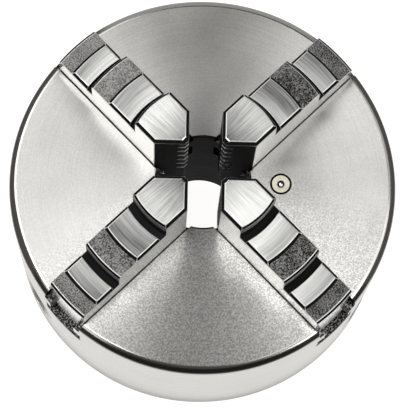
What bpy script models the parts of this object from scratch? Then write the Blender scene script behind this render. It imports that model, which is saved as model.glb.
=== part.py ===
"""Four-jaw self-centring scroll chuck, 125 mm, as an assembly of separate solids.

Frame: +Z runs along the spindle axis from the rear mounting face to the jaws, and the origin
is the centre of the rear mounting face. Azimuths are measured from +X towards +Y.
Rest pose: the jaw tips are 8.1 mm from the axis.
"""

import math

import bmesh
import bpy
from mathutils import Matrix, Vector

MM = 0.001
GAP = 0.3 * MM  # between curved neighbours
SLIDE_GAP = 0.2 * MM  # between flat sliding faces

# Body
BODY_RADIUS = 62.5 * MM
BODY_HEIGHT = 58.0 * MM
RIM_ROUND = 3.0 * MM
REAR_CHAMFER = 1.0 * MM
BORE_RADIUS = 15.0 * MM
BORE_CHAMFER = 0.7 * MM
REGISTER_RADIUS = 47.5 * MM
REGISTER_DEPTH = 4.0 * MM
HUB_RADIUS = 19.4 * MM
CAVITY_RADIUS = 40.6 * MM
CAVITY_TOP = 43.8 * MM
SHOULDER_Z = 10.0 * MM
BODY_SEGMENTS = 72

# Jaw slots, a T section with a guide rail on each wall
SLOT_HALF_WIDTH = 7.85 * MM
SLOT_EDGE_CHAMFER = 0.25 * MM
SLOT_FLOOR = 40.0 * MM
RAIL_LOW = 48.0 * MM
RAIL_HIGH = 54.0 * MM
RAIL_HALF_GAP = 5.35 * MM

# Jaws
JAW_ANGLES = (45, 135, 225, 315)
JAW_TOP = 84.0 * MM
JAW_HALF_WIDTH = SLOT_HALF_WIDTH - SLIDE_GAP
JAW_BOTTOM = CAVITY_TOP + GAP
JAW_V_START = 7.3 * MM  # where the two gripping faces would meet
JAW_RIDGE_HALF_WIDTH = 0.8 * MM
JAW_OUTER_RADIUS = 59.8 * MM
JAW_EDGE_CHAMFER = 1.1 * MM
JAW_NOSE = (9.8 * MM, 0.6 * MM)  # where the nose facet starts, and its drop at the ridge
TIP_OUTER_RADIUS = 24.9 * MM
LAND_HEIGHT = 0.95 * MM
STEP_EDGE_CHAMFER = 0.8 * MM
UNDERCUT_WIDTH = 2.35 * MM
UNDERCUT_DEPTH = 1.5 * MM
# Each step: the radius of the wall behind it, its tread height, its land's outer radius
MIDDLE_STEP = (TIP_OUTER_RADIUS, 75.0 * MM, 35.9 * MM)
OUTER_STEP = (44.5 * MM, 66.65 * MM, 53.1 * MM)
SERRATIONS = 6
SERRATION_PITCH = 4.6 * MM
SERRATION_HEIGHT = 2.0 * MM
SERRATION_DEPTH = 1.8 * MM
SERRATION_START = 3.4 * MM  # below the jaw's top

# Scroll plate: a spiral thread on the front, a crown of bevel teeth on the rear
SCROLL_PITCH = 6.0 * MM
SCROLL_INNER_RADIUS = HUB_RADIUS + GAP
SCROLL_OUTER_RADIUS = CAVITY_RADIUS - 0.6 * MM
SCROLL_FACE = SLOT_FLOOR
THREAD_TOP = CAVITY_TOP - GAP
THREAD_WIDTH = 2.75 * MM
THREAD_START_RADIUS = 21.2 * MM
THREAD_END_RADIUS = 39.6 * MM
THREAD_STEPS_PER_TURN = 40
JAW_TOOTH_WIDTH = 2.2 * MM
JAW_TOOTH_HALF_LENGTH = 6.3 * MM
JAW_TEETH_FROM = 20.0 * MM
JAW_TEETH_TO = 57.5 * MM
JAW_TEETH_LOW = SCROLL_FACE + GAP

# Bevel gearing between the pinions and the scroll plate
PINION_ANGLES = (90, 210, 330)
PINION_Z = 21.0 * MM
PINION_TEETH = 9
CROWN_TEETH = 45
GEAR_INNER = 28.0 * MM
GEAR_OUTER = 39.0 * MM
PITCH_SLOPE = PINION_TEETH / CROWN_TEETH
ADDENDUM = 1.1 * MM  # tooth sizes at GEAR_OUTER; they shrink towards the axis
DEDENDUM = 1.4 * MM
TOOTH_TIP_HALF = 0.6 * MM
PINION_ROOT_HALF = 1.15 * MM
CROWN_ROOT_HALF = 1.6 * MM
PINION_JOURNAL = 9.0 * MM
PINION_HOLE = PINION_JOURNAL + GAP
PINION_HOLE_CHAMFER = 1.2 * MM
PINION_JOURNAL_START = 41.4 * MM
PINION_FACE = 61.3 * MM
PINION_GROOVE = (51.5 * MM, 56.5 * MM, 7.0 * MM)  # start, end, radius
KEY_SQUARE = 8.0 * MM
KEY_DEPTH = 13.5 * MM
KEY_CHAMFER = 0.6 * MM

# Fasteners
RETAINER_CIRCLE = 54.0 * MM
RETAINER_HOLE = 3.0 * MM
RETAINER_RADIUS = RETAINER_HOLE - GAP
RETAINER_POINT_RADIUS = 1.8 * MM
RETAINER_LOW = 1.0 * MM
MOUNT_HOLE_ANGLES = (30, 150, 270)
MOUNT_HOLE_CIRCLE = 54.0 * MM
MOUNT_HOLE_RADIUS = 3.4 * MM  # tapping size of M8
MOUNT_HOLE_DEPTH = 16.0 * MM
COVER_SCREW_ANGLES = (0, 60, 120, 180, 240, 300)
COVER_SCREW_CIRCLE = 43.9 * MM
COVER_SCREW_RADIUS = 1.3 * MM
COVER_SCREW_HOLE = 1.6 * MM
COVER_SCREW_HEAD_RADIUS = 2.7 * MM
COVER_SCREW_LENGTH = 10.0 * MM
SOCKET_FLATS = 2.5 * MM

# Back cover
COVER_RADIUS = REGISTER_RADIUS - GAP
COVER_INNER_RADIUS = HUB_RADIUS + GAP
COVER_BOSS_RADIUS = 25.4 * MM
SCROLL_REAR = 27.6 * MM
COVER_RECESS_RADIUS = COVER_SCREW_HEAD_RADIUS + GAP
COVER_RECESS_DEPTH = 3.4 * MM

# Oiler
OILER_RADIUS_FROM_AXIS = 25.1 * MM
OILER_RADIUS = 3.1 * MM
OILER_LENGTH = 5.0 * MM
OILER_POCKET_RADIUS = 3.4 * MM
OILER_MOUTH_RADIUS = 1.1 * MM
OILER_BORE_RADIUS = 1.6 * MM
OILER_FOOT_RADIUS = 0.8 * MM
OILER_BALL_RADIUS = 1.25 * MM
OILER_BALL_Z = BODY_HEIGHT - 1.35 * MM
OIL_DUCT_RADIUS = 1.0 * MM
SPRING_WIRE_RADIUS = 0.14 * MM
SPRING_COIL_RADIUS = 1.0 * MM
SPRING_TURNS = 3

MATERIALS = {
    "ground_steel": ((0.62, 0.62, 0.60, 1.0), 0.34, 1.0),
    "jaw_steel": ((0.48, 0.48, 0.47, 1.0), 0.30, 1.0),
    "gear_steel": ((0.35, 0.35, 0.36, 1.0), 0.38, 1.0),
    "black_steel": ((0.05, 0.05, 0.055, 1.0), 0.45, 0.8),
    "brass": ((0.80, 0.66, 0.40, 1.0), 0.28, 1.0),
    "bright_steel": ((0.72, 0.72, 0.73, 1.0), 0.15, 1.0),
}


def clear_scene():
    for obj in list(bpy.data.objects):
        bpy.data.objects.remove(obj, do_unlink=True)


def make_material(name):
    colour, roughness, metallic = MATERIALS[name]
    material = bpy.data.materials.new(name)
    material.use_nodes = True
    shader = material.node_tree.nodes["Principled BSDF"]
    shader.inputs["Base Color"].default_value = colour
    shader.inputs["Roughness"].default_value = roughness
    shader.inputs["Metallic"].default_value = metallic
    return material


def add_object(name, bm):
    """An object made from a bmesh, with its faces turned outwards."""
    bmesh.ops.recalc_face_normals(bm, faces=bm.faces)
    mesh = bpy.data.meshes.new(name)
    bm.to_mesh(mesh)
    bm.free()
    obj = bpy.data.objects.new(name, mesh)
    bpy.context.scene.collection.objects.link(obj)
    return obj


def finish(obj, material):
    """Material and smooth shading with sharp edges above 30 degrees."""
    obj.data.materials.clear()
    obj.data.materials.append(material)
    obj.data.shade_smooth()
    obj.data.set_sharp_from_angle(angle=math.radians(30))
    return obj


def stitch_rings(bm, rings, closed):
    """Quads between neighbouring rings; an open stack gets a face on each end."""
    count = len(rings[0])
    pairs = list(zip(rings, rings[1:]))
    if closed:
        pairs.append((rings[-1], rings[0]))
    for lower, upper in pairs:
        for i in range(count):
            j = (i + 1) % count
            bm.faces.new((lower[i], lower[j], upper[j], upper[i]))
    if not closed:
        bm.faces.new(rings[0])
        bm.faces.new(rings[-1])


def turned(name, profile, segments, closed=True):
    """A solid turned about Z. A closed profile makes a tube; an open one is capped flat at both ends."""
    bm = bmesh.new()
    rings = []
    for radius, z in profile:
        ring = []
        for i in range(segments):
            angle = 2 * math.pi * i / segments
            ring.append(bm.verts.new((radius * math.cos(angle), radius * math.sin(angle), z)))
        rings.append(ring)
    stitch_rings(bm, rings, closed)
    return add_object(name, bm)


def prism(name, outline, low, high):
    """A flat outline in X and Y, extruded from low to high along Z."""
    bm = bmesh.new()
    rings = [[bm.verts.new((x, y, z)) for x, y in outline] for z in (low, high)]
    stitch_rings(bm, rings, closed=False)
    return add_object(name, bm)


def rectangle(x0, x1, half_y):
    return [(x0, -half_y), (x1, -half_y), (x1, half_y), (x0, half_y)]


def combine(obj, tool, operation):
    """Applies a Boolean of obj with tool, then removes the tool."""
    modifier = obj.modifiers.new("boolean", "BOOLEAN")
    modifier.operation = operation
    modifier.solver = "EXACT"
    modifier.object = tool
    graph = bpy.context.evaluated_depsgraph_get()
    result = bpy.data.meshes.new_from_object(obj.evaluated_get(graph))
    obj.modifiers.clear()
    obj.data = result
    bpy.data.objects.remove(tool, do_unlink=True)
    return obj


def put(obj, matrix):
    """Moves an object's mesh, leaving its origin where it is."""
    obj.data.transform(matrix)
    return obj


def turn_z(degrees):
    return Matrix.Rotation(math.radians(degrees), 4, "Z")


def along_x():
    """Turns a piece made along Z to lie along +X, with its local +X pointing up."""
    return Matrix(((0, 0, 1, 0), (0, -1, 0, 0), (1, 0, 0, 0), (0, 0, 0, 1)))


def polar(radius, degrees):
    angle = math.radians(degrees)
    return radius * math.cos(angle), radius * math.sin(angle)


def arc(centre, radius, start, end, steps):
    """Points on an arc, both ends included; angles in degrees."""
    points = []
    for i in range(steps + 1):
        x, y = polar(radius, start + (end - start) * i / steps)
        points.append((centre[0] + x, centre[1] + y))
    return points


# ---------------------------------------------------------------- body


def body_profile():
    rim = arc((BODY_RADIUS - RIM_ROUND, BODY_HEIGHT - RIM_ROUND), RIM_ROUND, 90, 0, 4)
    return [
        (BORE_RADIUS, REGISTER_DEPTH),
        (BORE_RADIUS, BODY_HEIGHT - BORE_CHAMFER),
        (BORE_RADIUS + BORE_CHAMFER, BODY_HEIGHT),
        *rim,
        (BODY_RADIUS, REAR_CHAMFER),
        (BODY_RADIUS - REAR_CHAMFER, 0),
        (REGISTER_RADIUS, 0),
        (REGISTER_RADIUS, SHOULDER_Z),
        (CAVITY_RADIUS, SHOULDER_Z),
        (CAVITY_RADIUS, CAVITY_TOP),
        (HUB_RADIUS, CAVITY_TOP),
        (HUB_RADIUS, REGISTER_DEPTH),
    ]


def slot_cutter():
    """The T section of one pair of opposite jaw slots, extruded along X through the whole body."""
    wide = SLOT_HALF_WIDTH
    top = BODY_HEIGHT + 1 * MM
    flare = wide + SLOT_EDGE_CHAMFER + 1 * MM
    half = [
        (wide, SLOT_FLOOR),
        (wide, RAIL_LOW),
        (RAIL_HALF_GAP, RAIL_LOW),
        (RAIL_HALF_GAP, RAIL_HIGH),
        (wide, RAIL_HIGH),
        (wide, BODY_HEIGHT - SLOT_EDGE_CHAMFER),
        (flare, top),
    ]
    section = half + [(-y, z) for y, z in reversed(half)]
    bm = bmesh.new()
    reach = BODY_RADIUS + 5 * MM
    rings = [[bm.verts.new((x, y, z)) for y, z in section] for x in (-reach, reach)]
    stitch_rings(bm, rings, closed=False)
    return add_object("slot_cutter", bm)


def drill(radius, low, high, x, y, segments):
    """A cutter for an axial hole."""
    tool = turned("drill", [(radius, low), (radius, high)], segments, closed=False)
    return put(tool, Matrix.Translation((x, y, 0)))


def pinion_hole_cutter(degrees):
    mouth = PINION_HOLE + PINION_HOLE_CHAMFER
    profile = [
        (PINION_HOLE, CAVITY_RADIUS - 2 * MM),
        (PINION_HOLE, BODY_RADIUS - 0.2 * MM - PINION_HOLE_CHAMFER),
        (mouth, BODY_RADIUS - 0.2 * MM),
        (mouth, BODY_RADIUS + 3 * MM),
    ]
    tool = turned("pinion_hole", profile, 32, closed=False)
    put(tool, along_x())
    return put(tool, Matrix.Translation((0, 0, PINION_Z)) @ turn_z(degrees))


def make_body(material):
    body = turned("chuck_body", body_profile(), BODY_SEGMENTS)
    for degrees in JAW_ANGLES[:2]:
        combine(body, put(slot_cutter(), turn_z(degrees)), "DIFFERENCE")
    for degrees in PINION_ANGLES:
        combine(body, pinion_hole_cutter(degrees), "DIFFERENCE")
        x, y = polar(RETAINER_CIRCLE, degrees)
        combine(body, drill(RETAINER_HOLE, -1 * MM, PINION_Z - 5 * MM, x, y, 16), "DIFFERENCE")
    for degrees in MOUNT_HOLE_ANGLES:
        x, y = polar(MOUNT_HOLE_CIRCLE, degrees)
        combine(body, drill(MOUNT_HOLE_RADIUS, -1 * MM, MOUNT_HOLE_DEPTH, x, y, 20), "DIFFERENCE")
    for degrees in COVER_SCREW_ANGLES:
        x, y = polar(COVER_SCREW_CIRCLE, degrees)
        depth = SHOULDER_Z + COVER_SCREW_LENGTH
        combine(body, drill(COVER_SCREW_HOLE, SHOULDER_Z - 2 * MM, depth, x, y, 12), "DIFFERENCE")
    pocket_floor = BODY_HEIGHT - OILER_LENGTH - GAP
    pocket = drill(OILER_POCKET_RADIUS, pocket_floor, BODY_HEIGHT + 1 * MM, OILER_RADIUS_FROM_AXIS, 0, 24)
    combine(body, pocket, "DIFFERENCE")
    duct = drill(OIL_DUCT_RADIUS, CAVITY_TOP - 1 * MM, BODY_HEIGHT - 1 * MM, OILER_RADIUS_FROM_AXIS, 0, 12)
    combine(body, duct, "DIFFERENCE")
    return finish(body, material)


# ---------------------------------------------------------------- back cover and its screws


def make_cover(material):
    profile = [
        (COVER_INNER_RADIUS, REGISTER_DEPTH),
        (COVER_RADIUS - 0.5 * MM, REGISTER_DEPTH),
        (COVER_RADIUS, REGISTER_DEPTH + 0.5 * MM),
        (COVER_RADIUS, SHOULDER_Z - 0.1 * MM),
        (COVER_BOSS_RADIUS, SHOULDER_Z - 0.1 * MM),
        (COVER_BOSS_RADIUS, SCROLL_REAR - GAP),
        (COVER_INNER_RADIUS, SCROLL_REAR - GAP),
    ]
    cover = turned("back_cover", profile, 60)
    floor = REGISTER_DEPTH + COVER_RECESS_DEPTH
    for degrees in COVER_SCREW_ANGLES:
        x, y = polar(COVER_SCREW_CIRCLE, degrees)
        step = [
            (COVER_RECESS_RADIUS, 0),
            (COVER_RECESS_RADIUS, floor),
            (COVER_SCREW_HOLE, floor),
            (COVER_SCREW_HOLE, SHOULDER_Z + 2 * MM),
        ]
        tool = turned("recess", step, 16, closed=False)
        combine(cover, put(tool, Matrix.Translation((x, y, 0))), "DIFFERENCE")
    return finish(cover, material)


def hexagon(across_flats):
    corner = across_flats / math.sqrt(3)
    return [polar(corner, 60 * i) for i in range(6)]


def make_cover_screw(name, material):
    """Socket cap screw with its head towards the rear; local origin on the head's bearing face."""
    head = COVER_RECESS_DEPTH - 0.4 * MM
    profile = [
        (COVER_SCREW_HEAD_RADIUS - GAP, -head),
        (COVER_SCREW_HEAD_RADIUS, -head + GAP),
        (COVER_SCREW_HEAD_RADIUS, -0.1 * MM),
        (COVER_SCREW_RADIUS, -0.1 * MM),
        (COVER_SCREW_RADIUS, COVER_SCREW_LENGTH),
        (COVER_SCREW_RADIUS - 0.5 * MM, COVER_SCREW_LENGTH + 0.5 * MM),
    ]
    screw = turned(name, profile, 16, closed=False)
    socket = prism("socket", hexagon(SOCKET_FLATS), -head - 1 * MM, -head + 1.5 * MM)
    combine(screw, socket, "DIFFERENCE")
    return finish(screw, material)


def make_cover_screws(material):
    first = make_cover_screw("cover_screw_1", material)
    for number, degrees in enumerate(COVER_SCREW_ANGLES, start=1):
        if number == 1:
            screw = first
        else:
            screw = bpy.data.objects.new(f"cover_screw_{number}", first.data)
            bpy.context.scene.collection.objects.link(screw)
        x, y = polar(COVER_SCREW_CIRCLE, degrees)
        screw.location = (x, y, REGISTER_DEPTH + COVER_RECESS_DEPTH)
        screw.rotation_euler = (0, 0, math.radians(degrees))


# ---------------------------------------------------------------- scroll plate


def thread_radius(turn_angle):
    """Middle of the spiral thread, growing anticlockwise as seen from the front."""
    return THREAD_START_RADIUS + THREAD_WIDTH / 2 + SCROLL_PITCH * turn_angle / (2 * math.pi)


def make_thread():
    turns = (THREAD_END_RADIUS - THREAD_START_RADIUS - THREAD_WIDTH) / SCROLL_PITCH
    steps = round(turns * THREAD_STEPS_PER_TURN)
    bm = bmesh.new()
    rings = []
    for i in range(steps + 1):
        angle = 2 * math.pi * i / THREAD_STEPS_PER_TURN
        middle = thread_radius(angle)
        c, s = math.cos(angle), math.sin(angle)
        low = SCROLL_FACE - 1 * MM
        section = (
            (middle - THREAD_WIDTH / 2, low),
            (middle + THREAD_WIDTH / 2, low),
            (middle + THREAD_WIDTH / 2, THREAD_TOP),
            (middle - THREAD_WIDTH / 2, THREAD_TOP),
        )
        rings.append([bm.verts.new((r * c, r * s, z)) for r, z in section])
    stitch_rings(bm, rings, closed=False)
    return add_object("thread", bm)


def crown_z(radius, height):
    """Height on the crown gear at this radius; height is measured from its pitch line, at GEAR_OUTER."""
    return PINION_Z + radius * PITCH_SLOPE + height * radius / GEAR_OUTER


def make_crown_tooth(index):
    """One tapered tooth, wider at its root and sunk into the plate."""
    sunk = 0.6 * MM
    middle = math.radians(PINION_ANGLES[0]) + 2 * math.pi * (index + 0.5) / CROWN_TEETH
    root_half = CROWN_ROOT_HALF + sunk * (CROWN_ROOT_HALF - TOOTH_TIP_HALF) / (ADDENDUM + DEDENDUM)
    bm = bmesh.new()
    rings = []
    for radius in (GEAR_INNER, GEAR_OUTER):
        section = (
            (-root_half, DEDENDUM + sunk),
            (root_half, DEDENDUM + sunk),
            (TOOTH_TIP_HALF, -ADDENDUM),
            (-TOOTH_TIP_HALF, -ADDENDUM),
        )
        ring = []
        for across, height in section:
            side = across * radius / GEAR_OUTER
            point = Vector((radius, side, crown_z(radius, height)))
            ring.append(bm.verts.new(Matrix.Rotation(middle, 3, "Z") @ point))
        rings.append(ring)
    stitch_rings(bm, rings, closed=False)
    return bm


def make_crown():
    joined = bmesh.new()
    for index in range(CROWN_TEETH):
        tooth = make_crown_tooth(index)
        mesh = bpy.data.meshes.new("tooth")
        tooth.to_mesh(mesh)
        tooth.free()
        joined.from_mesh(mesh)
        bpy.data.meshes.remove(mesh)
    return add_object("crown", joined)


def make_scroll(material):
    root_in = crown_z(GEAR_INNER - 0.5 * MM, DEDENDUM)
    root_out = crown_z(SCROLL_OUTER_RADIUS, DEDENDUM)
    profile = [
        (SCROLL_INNER_RADIUS, SCROLL_REAR),
        (GEAR_INNER - 0.5 * MM, root_in),
        (SCROLL_OUTER_RADIUS, root_out),
        (SCROLL_OUTER_RADIUS, SCROLL_FACE - 0.5 * MM),
        (SCROLL_OUTER_RADIUS - 0.5 * MM, SCROLL_FACE),
        (SCROLL_INNER_RADIUS, SCROLL_FACE),
    ]
    scroll = turned("scroll_plate", profile, 2 * CROWN_TEETH)
    combine(scroll, make_crown(), "UNION")
    combine(scroll, make_thread(), "UNION")
    return finish(scroll, material)


# ---------------------------------------------------------------- pinions and their retaining screws


def pinion_section(radius_tip, radius_root, scale):
    """Toothed outline: root, tip, tip, root for each tooth; the first tooth points along local +X."""
    points = []
    for tooth in range(PINION_TEETH):
        middle = 360 * tooth / PINION_TEETH
        tip = math.degrees(TOOTH_TIP_HALF * scale / radius_tip)
        root = math.degrees(PINION_ROOT_HALF * scale / radius_root)
        corners = ((radius_root, -root), (radius_tip, -tip), (radius_tip, tip), (radius_root, root))
        points += [polar(radius, middle + offset) for radius, offset in corners]
    return points


def gear_ring(distance):
    """The pinion's toothed outline at this distance from the chuck's axis."""
    scale = distance / GEAR_OUTER
    pitch = GEAR_OUTER * PITCH_SLOPE
    return pinion_section((pitch + ADDENDUM) * scale, (pitch - DEDENDUM) * scale, scale)


def plain_ring(radius):
    """A round outline with the same number of points as a toothed one."""
    return pinion_section(radius, radius, 1.0)


def make_pinion_mesh(material):
    """Local +Z is the pinion's axis, measured from the chuck's axis outwards."""
    groove_start, groove_end, groove_radius = PINION_GROOVE
    neck = (GEAR_OUTER * PITCH_SLOPE - DEDENDUM) * 0.98
    stations = [
        (gear_ring(GEAR_INNER), GEAR_INNER),
        (gear_ring(GEAR_OUTER), GEAR_OUTER),
        (plain_ring(neck), GEAR_OUTER + 0.6 * MM),
        (plain_ring(neck), PINION_JOURNAL_START),
        (plain_ring(PINION_JOURNAL), PINION_JOURNAL_START),
        (plain_ring(PINION_JOURNAL), groove_start),
        (plain_ring(groove_radius), groove_start),
        (plain_ring(groove_radius), groove_end),
        (plain_ring(PINION_JOURNAL), groove_end),
        (plain_ring(PINION_JOURNAL), PINION_FACE - 0.5 * MM),
        (plain_ring(PINION_JOURNAL - 0.5 * MM), PINION_FACE),
    ]
    bm = bmesh.new()
    rings = [[bm.verts.new((x, y, z)) for x, y in outline] for outline, z in stations]
    stitch_rings(bm, rings, closed=False)
    pinion = add_object("pinion_1", bm)
    half = KEY_SQUARE / 2
    bm = bmesh.new()
    levels = (
        (half, PINION_FACE - KEY_DEPTH),
        (half, PINION_FACE - KEY_CHAMFER),
        (half + KEY_CHAMFER + 1 * MM, PINION_FACE + 1 * MM),
    )
    rings = [[bm.verts.new((x, y, z)) for x, y in rectangle(-h, h, h)] for h, z in levels]
    stitch_rings(bm, rings, closed=False)
    combine(pinion, add_object("key_socket", bm), "DIFFERENCE")
    put(pinion, along_x())
    return finish(pinion, material)


def make_pinions(material):
    first = make_pinion_mesh(material)
    for number, degrees in enumerate(PINION_ANGLES, start=1):
        if number == 1:
            pinion = first
        else:
            pinion = bpy.data.objects.new(f"pinion_{number}", first.data)
            bpy.context.scene.collection.objects.link(pinion)
        pinion.location = (0, 0, PINION_Z)
        pinion.rotation_euler = (0, 0, math.radians(degrees))


def make_retaining_screws(material):
    """Dog-point screws whose points stand in the pinions' grooves."""
    groove_radius = PINION_GROOVE[2]
    point_end = PINION_Z - groove_radius - GAP
    point_start = PINION_Z - PINION_JOURNAL - 1 * MM
    profile = [
        (RETAINER_RADIUS - 0.4 * MM, RETAINER_LOW),
        (RETAINER_RADIUS, RETAINER_LOW + 0.4 * MM),
        (RETAINER_RADIUS, point_start),
        (RETAINER_POINT_RADIUS, point_start + 0.5 * MM),
        (RETAINER_POINT_RADIUS, point_end),
    ]
    for number, degrees in enumerate(PINION_ANGLES, start=1):
        screw = turned(f"pinion_retaining_screw_{number}", profile, 16, closed=False)
        socket = prism("socket", hexagon(SOCKET_FLATS), RETAINER_LOW - 1 * MM, RETAINER_LOW + 2.5 * MM)
        combine(screw, socket, "DIFFERENCE")
        finish(screw, material)
        x, y = polar(RETAINER_CIRCLE, degrees)
        screw.location = (x, y, 0)
        screw.rotation_euler = (0, 0, math.radians(degrees))


# ---------------------------------------------------------------- jaws


def jaw_bar():
    """The jaw's bar in its own frame: +X is outwards, the two gripping faces meet in a blunt ridge."""
    wide = JAW_HALF_WIDTH
    ridge = JAW_RIDGE_HALF_WIDTH
    outline = [
        (JAW_V_START + ridge, -ridge),
        (JAW_V_START + wide, -wide),
        (JAW_OUTER_RADIUS + 3 * MM, -wide),
        (JAW_OUTER_RADIUS + 3 * MM, wide),
        (JAW_V_START + wide, wide),
        (JAW_V_START + ridge, ridge),
    ]
    return prism("jaw", outline, JAW_BOTTOM, JAW_TOP)


def step_points(step):
    """Profile of one step, from the foot of the wall behind it to the edge of its tread."""
    wall_radius, tread, land_outer = step
    land = tread + LAND_HEIGHT
    floor = land - UNDERCUT_DEPTH
    return [
        (wall_radius, floor),
        (wall_radius + UNDERCUT_WIDTH, floor),
        (wall_radius + UNDERCUT_WIDTH, land),
        (land_outer, land),
        (land_outer + LAND_HEIGHT, tread),
    ]


def jaw_envelope():
    """The stepped top of a jaw, turned about the chuck's axis over the width of one jaw."""
    small = STEP_EDGE_CHAMFER
    low = JAW_BOTTOM - 2 * MM
    outline = [
        (2 * MM, low),
        (2 * MM, JAW_TOP + 1 * MM),
        (TIP_OUTER_RADIUS - small - 1 * MM, JAW_TOP + 1 * MM),
        (TIP_OUTER_RADIUS, JAW_TOP - small),
        *step_points(MIDDLE_STEP),
        (OUTER_STEP[0] - small, MIDDLE_STEP[1]),
        (OUTER_STEP[0], MIDDLE_STEP[1] - small),
        *step_points(OUTER_STEP),
        (JAW_OUTER_RADIUS - small, OUTER_STEP[1]),
        (JAW_OUTER_RADIUS, OUTER_STEP[1] - small),
        (JAW_OUTER_RADIUS, low),
    ]
    bm = bmesh.new()
    rings = []
    half_angle = 45
    steps = 20
    for i in range(steps + 1):
        angle = math.radians(half_angle * (2 * i / steps - 1))
        rings.append([bm.verts.new((r * math.cos(angle), r * math.sin(angle), z)) for r, z in outline])
    stitch_rings(bm, rings, closed=False)
    return add_object("envelope", bm)


def edge_cutter(start, end, side, z_edge, size):
    """Takes a 45 degree chamfer off a top edge that runs from start to end with the jaw on its right.

    With side -1 the cutter is mirrored to the jaw's other edge.
    """
    direction = (Vector(end) - Vector(start)).normalized()
    outward = Vector((-direction.y, direction.x))
    over = 1.0 * MM
    section = ((-size - over, over), (over, over), (over, -size - over))
    bm = bmesh.new()
    rings = []
    for base in (Vector(start), Vector(end)):
        ring = []
        for across, height in section:
            point = base + outward * across
            ring.append(bm.verts.new((point.x, side * point.y, z_edge + height)))
        rings.append(ring)
    stitch_rings(bm, rings, closed=False)
    return add_object("edge_cutter", bm)


def chamfer_jaw(jaw):
    """Chamfers round the tip's top and along both sides of each land."""
    wide = JAW_HALF_WIDTH
    shoulder = JAW_V_START + wide
    past = 2 * MM
    runs = [
        ((shoulder - past, wide), (TIP_OUTER_RADIUS + past, wide), JAW_TOP, JAW_EDGE_CHAMFER),
        ((JAW_V_START - past, -past), (shoulder + past, wide + past), JAW_TOP, JAW_EDGE_CHAMFER),
    ]
    for wall_radius, tread, land_outer in (MIDDLE_STEP, OUTER_STEP):
        # the run starts in the undercut, so it leaves the wall behind the land alone
        start = (wall_radius + 0.15 * MM, wide)
        end = (land_outer + LAND_HEIGHT + 0.6 * MM, wide)
        runs.append((start, end, tread + LAND_HEIGHT, LAND_HEIGHT))
    for start, end, z_edge, size in runs:
        for side in (1, -1):
            combine(jaw, edge_cutter(start, end, side, z_edge, size), "DIFFERENCE")


def cut_nose(jaw):
    """The small facet that slopes down to the ridge at the tip's top."""
    start, drop = JAW_NOSE
    ridge = JAW_V_START + JAW_RIDGE_HALF_WIDTH
    slope = drop / (start - ridge)
    past = 1 * MM
    outline = [
        (start + past, JAW_TOP + slope * past),
        (start + past, JAW_TOP + 2 * MM),
        (ridge - past, JAW_TOP + 2 * MM),
        (ridge - past, JAW_TOP - drop - slope * past),
    ]
    bm = bmesh.new()
    half = JAW_HALF_WIDTH + 1 * MM
    rings = [[bm.verts.new((x, y, z)) for x, z in outline] for y in (-half, half)]
    stitch_rings(bm, rings, closed=False)
    combine(jaw, add_object("nose_cutter", bm), "DIFFERENCE")


def cut_guide_grooves(jaw):
    """A groove along each side for the slot's guide rails."""
    start = JAW_V_START - 3 * MM
    end = JAW_OUTER_RADIUS + 5 * MM
    neck = RAIL_HALF_GAP - SLIDE_GAP
    outside = JAW_HALF_WIDTH + 4 * MM
    for side in (-1, 1):
        outline = [(start, side * neck), (end, side * neck), (end, side * outside), (start, side * outside)]
        tool = prism("groove", outline, RAIL_LOW - SLIDE_GAP, RAIL_HIGH + SLIDE_GAP)
        combine(jaw, tool, "DIFFERENCE")


def jaw_teeth(phase):
    """Crescent teeth that stand in the scroll's spiral groove at this jaw's azimuth, in degrees."""
    joined = bmesh.new()
    first = THREAD_START_RADIUS + THREAD_WIDTH / 2 + SCROLL_PITCH / 2 + SCROLL_PITCH * phase / 360
    lowest = math.ceil((JAW_TEETH_FROM - first) / SCROLL_PITCH)
    highest = math.floor((JAW_TEETH_TO - first) / SCROLL_PITCH)
    half = JAW_TOOTH_WIDTH / 2
    for k in range(lowest, highest + 1):
        middle = first + k * SCROLL_PITCH
        outline = []
        # the outer flank is as tight as the spiral's inner end, the inner one as open as its outer end
        for radius, offset, order in (
            (THREAD_START_RADIUS, half, 1),
            (THREAD_END_RADIUS, -half, -1),
        ):
            for i in range(-3, 4):
                v = order * i * JAW_TOOTH_HALF_LENGTH / 3
                drop = radius - math.sqrt(radius * radius - v * v)
                outline.append((middle + offset - drop, v))
        rings = [
            [joined.verts.new((x, y, z)) for x, y in outline]
            for z in (JAW_TEETH_LOW, JAW_BOTTOM + 1 * MM)
        ]
        stitch_rings(joined, rings, closed=False)
    return add_object("teeth", joined)


def cut_serrations(jaw):
    """Notches across the ridge of the gripping faces."""
    reach = JAW_V_START + JAW_RIDGE_HALF_WIDTH + SERRATION_DEPTH
    for index in range(SERRATIONS):
        top = JAW_TOP - SERRATION_START - index * SERRATION_PITCH
        tool = prism("notch", rectangle(0, reach, 5 * MM), top - SERRATION_HEIGHT, top)
        combine(jaw, tool, "DIFFERENCE")


def make_jaw(number, degrees, material):
    """The jaw is made along +X and then turned to its azimuth, which also sets where its teeth fall."""
    jaw = jaw_bar()
    combine(jaw, jaw_envelope(), "INTERSECT")
    cut_guide_grooves(jaw)
    chamfer_jaw(jaw)
    cut_nose(jaw)
    cut_serrations(jaw)
    combine(jaw, jaw_teeth(degrees), "UNION")
    jaw.name = f"jaw_{number}"
    jaw.rotation_euler = (0, 0, math.radians(degrees))
    return finish(jaw, material)


# ---------------------------------------------------------------- oiler


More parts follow.
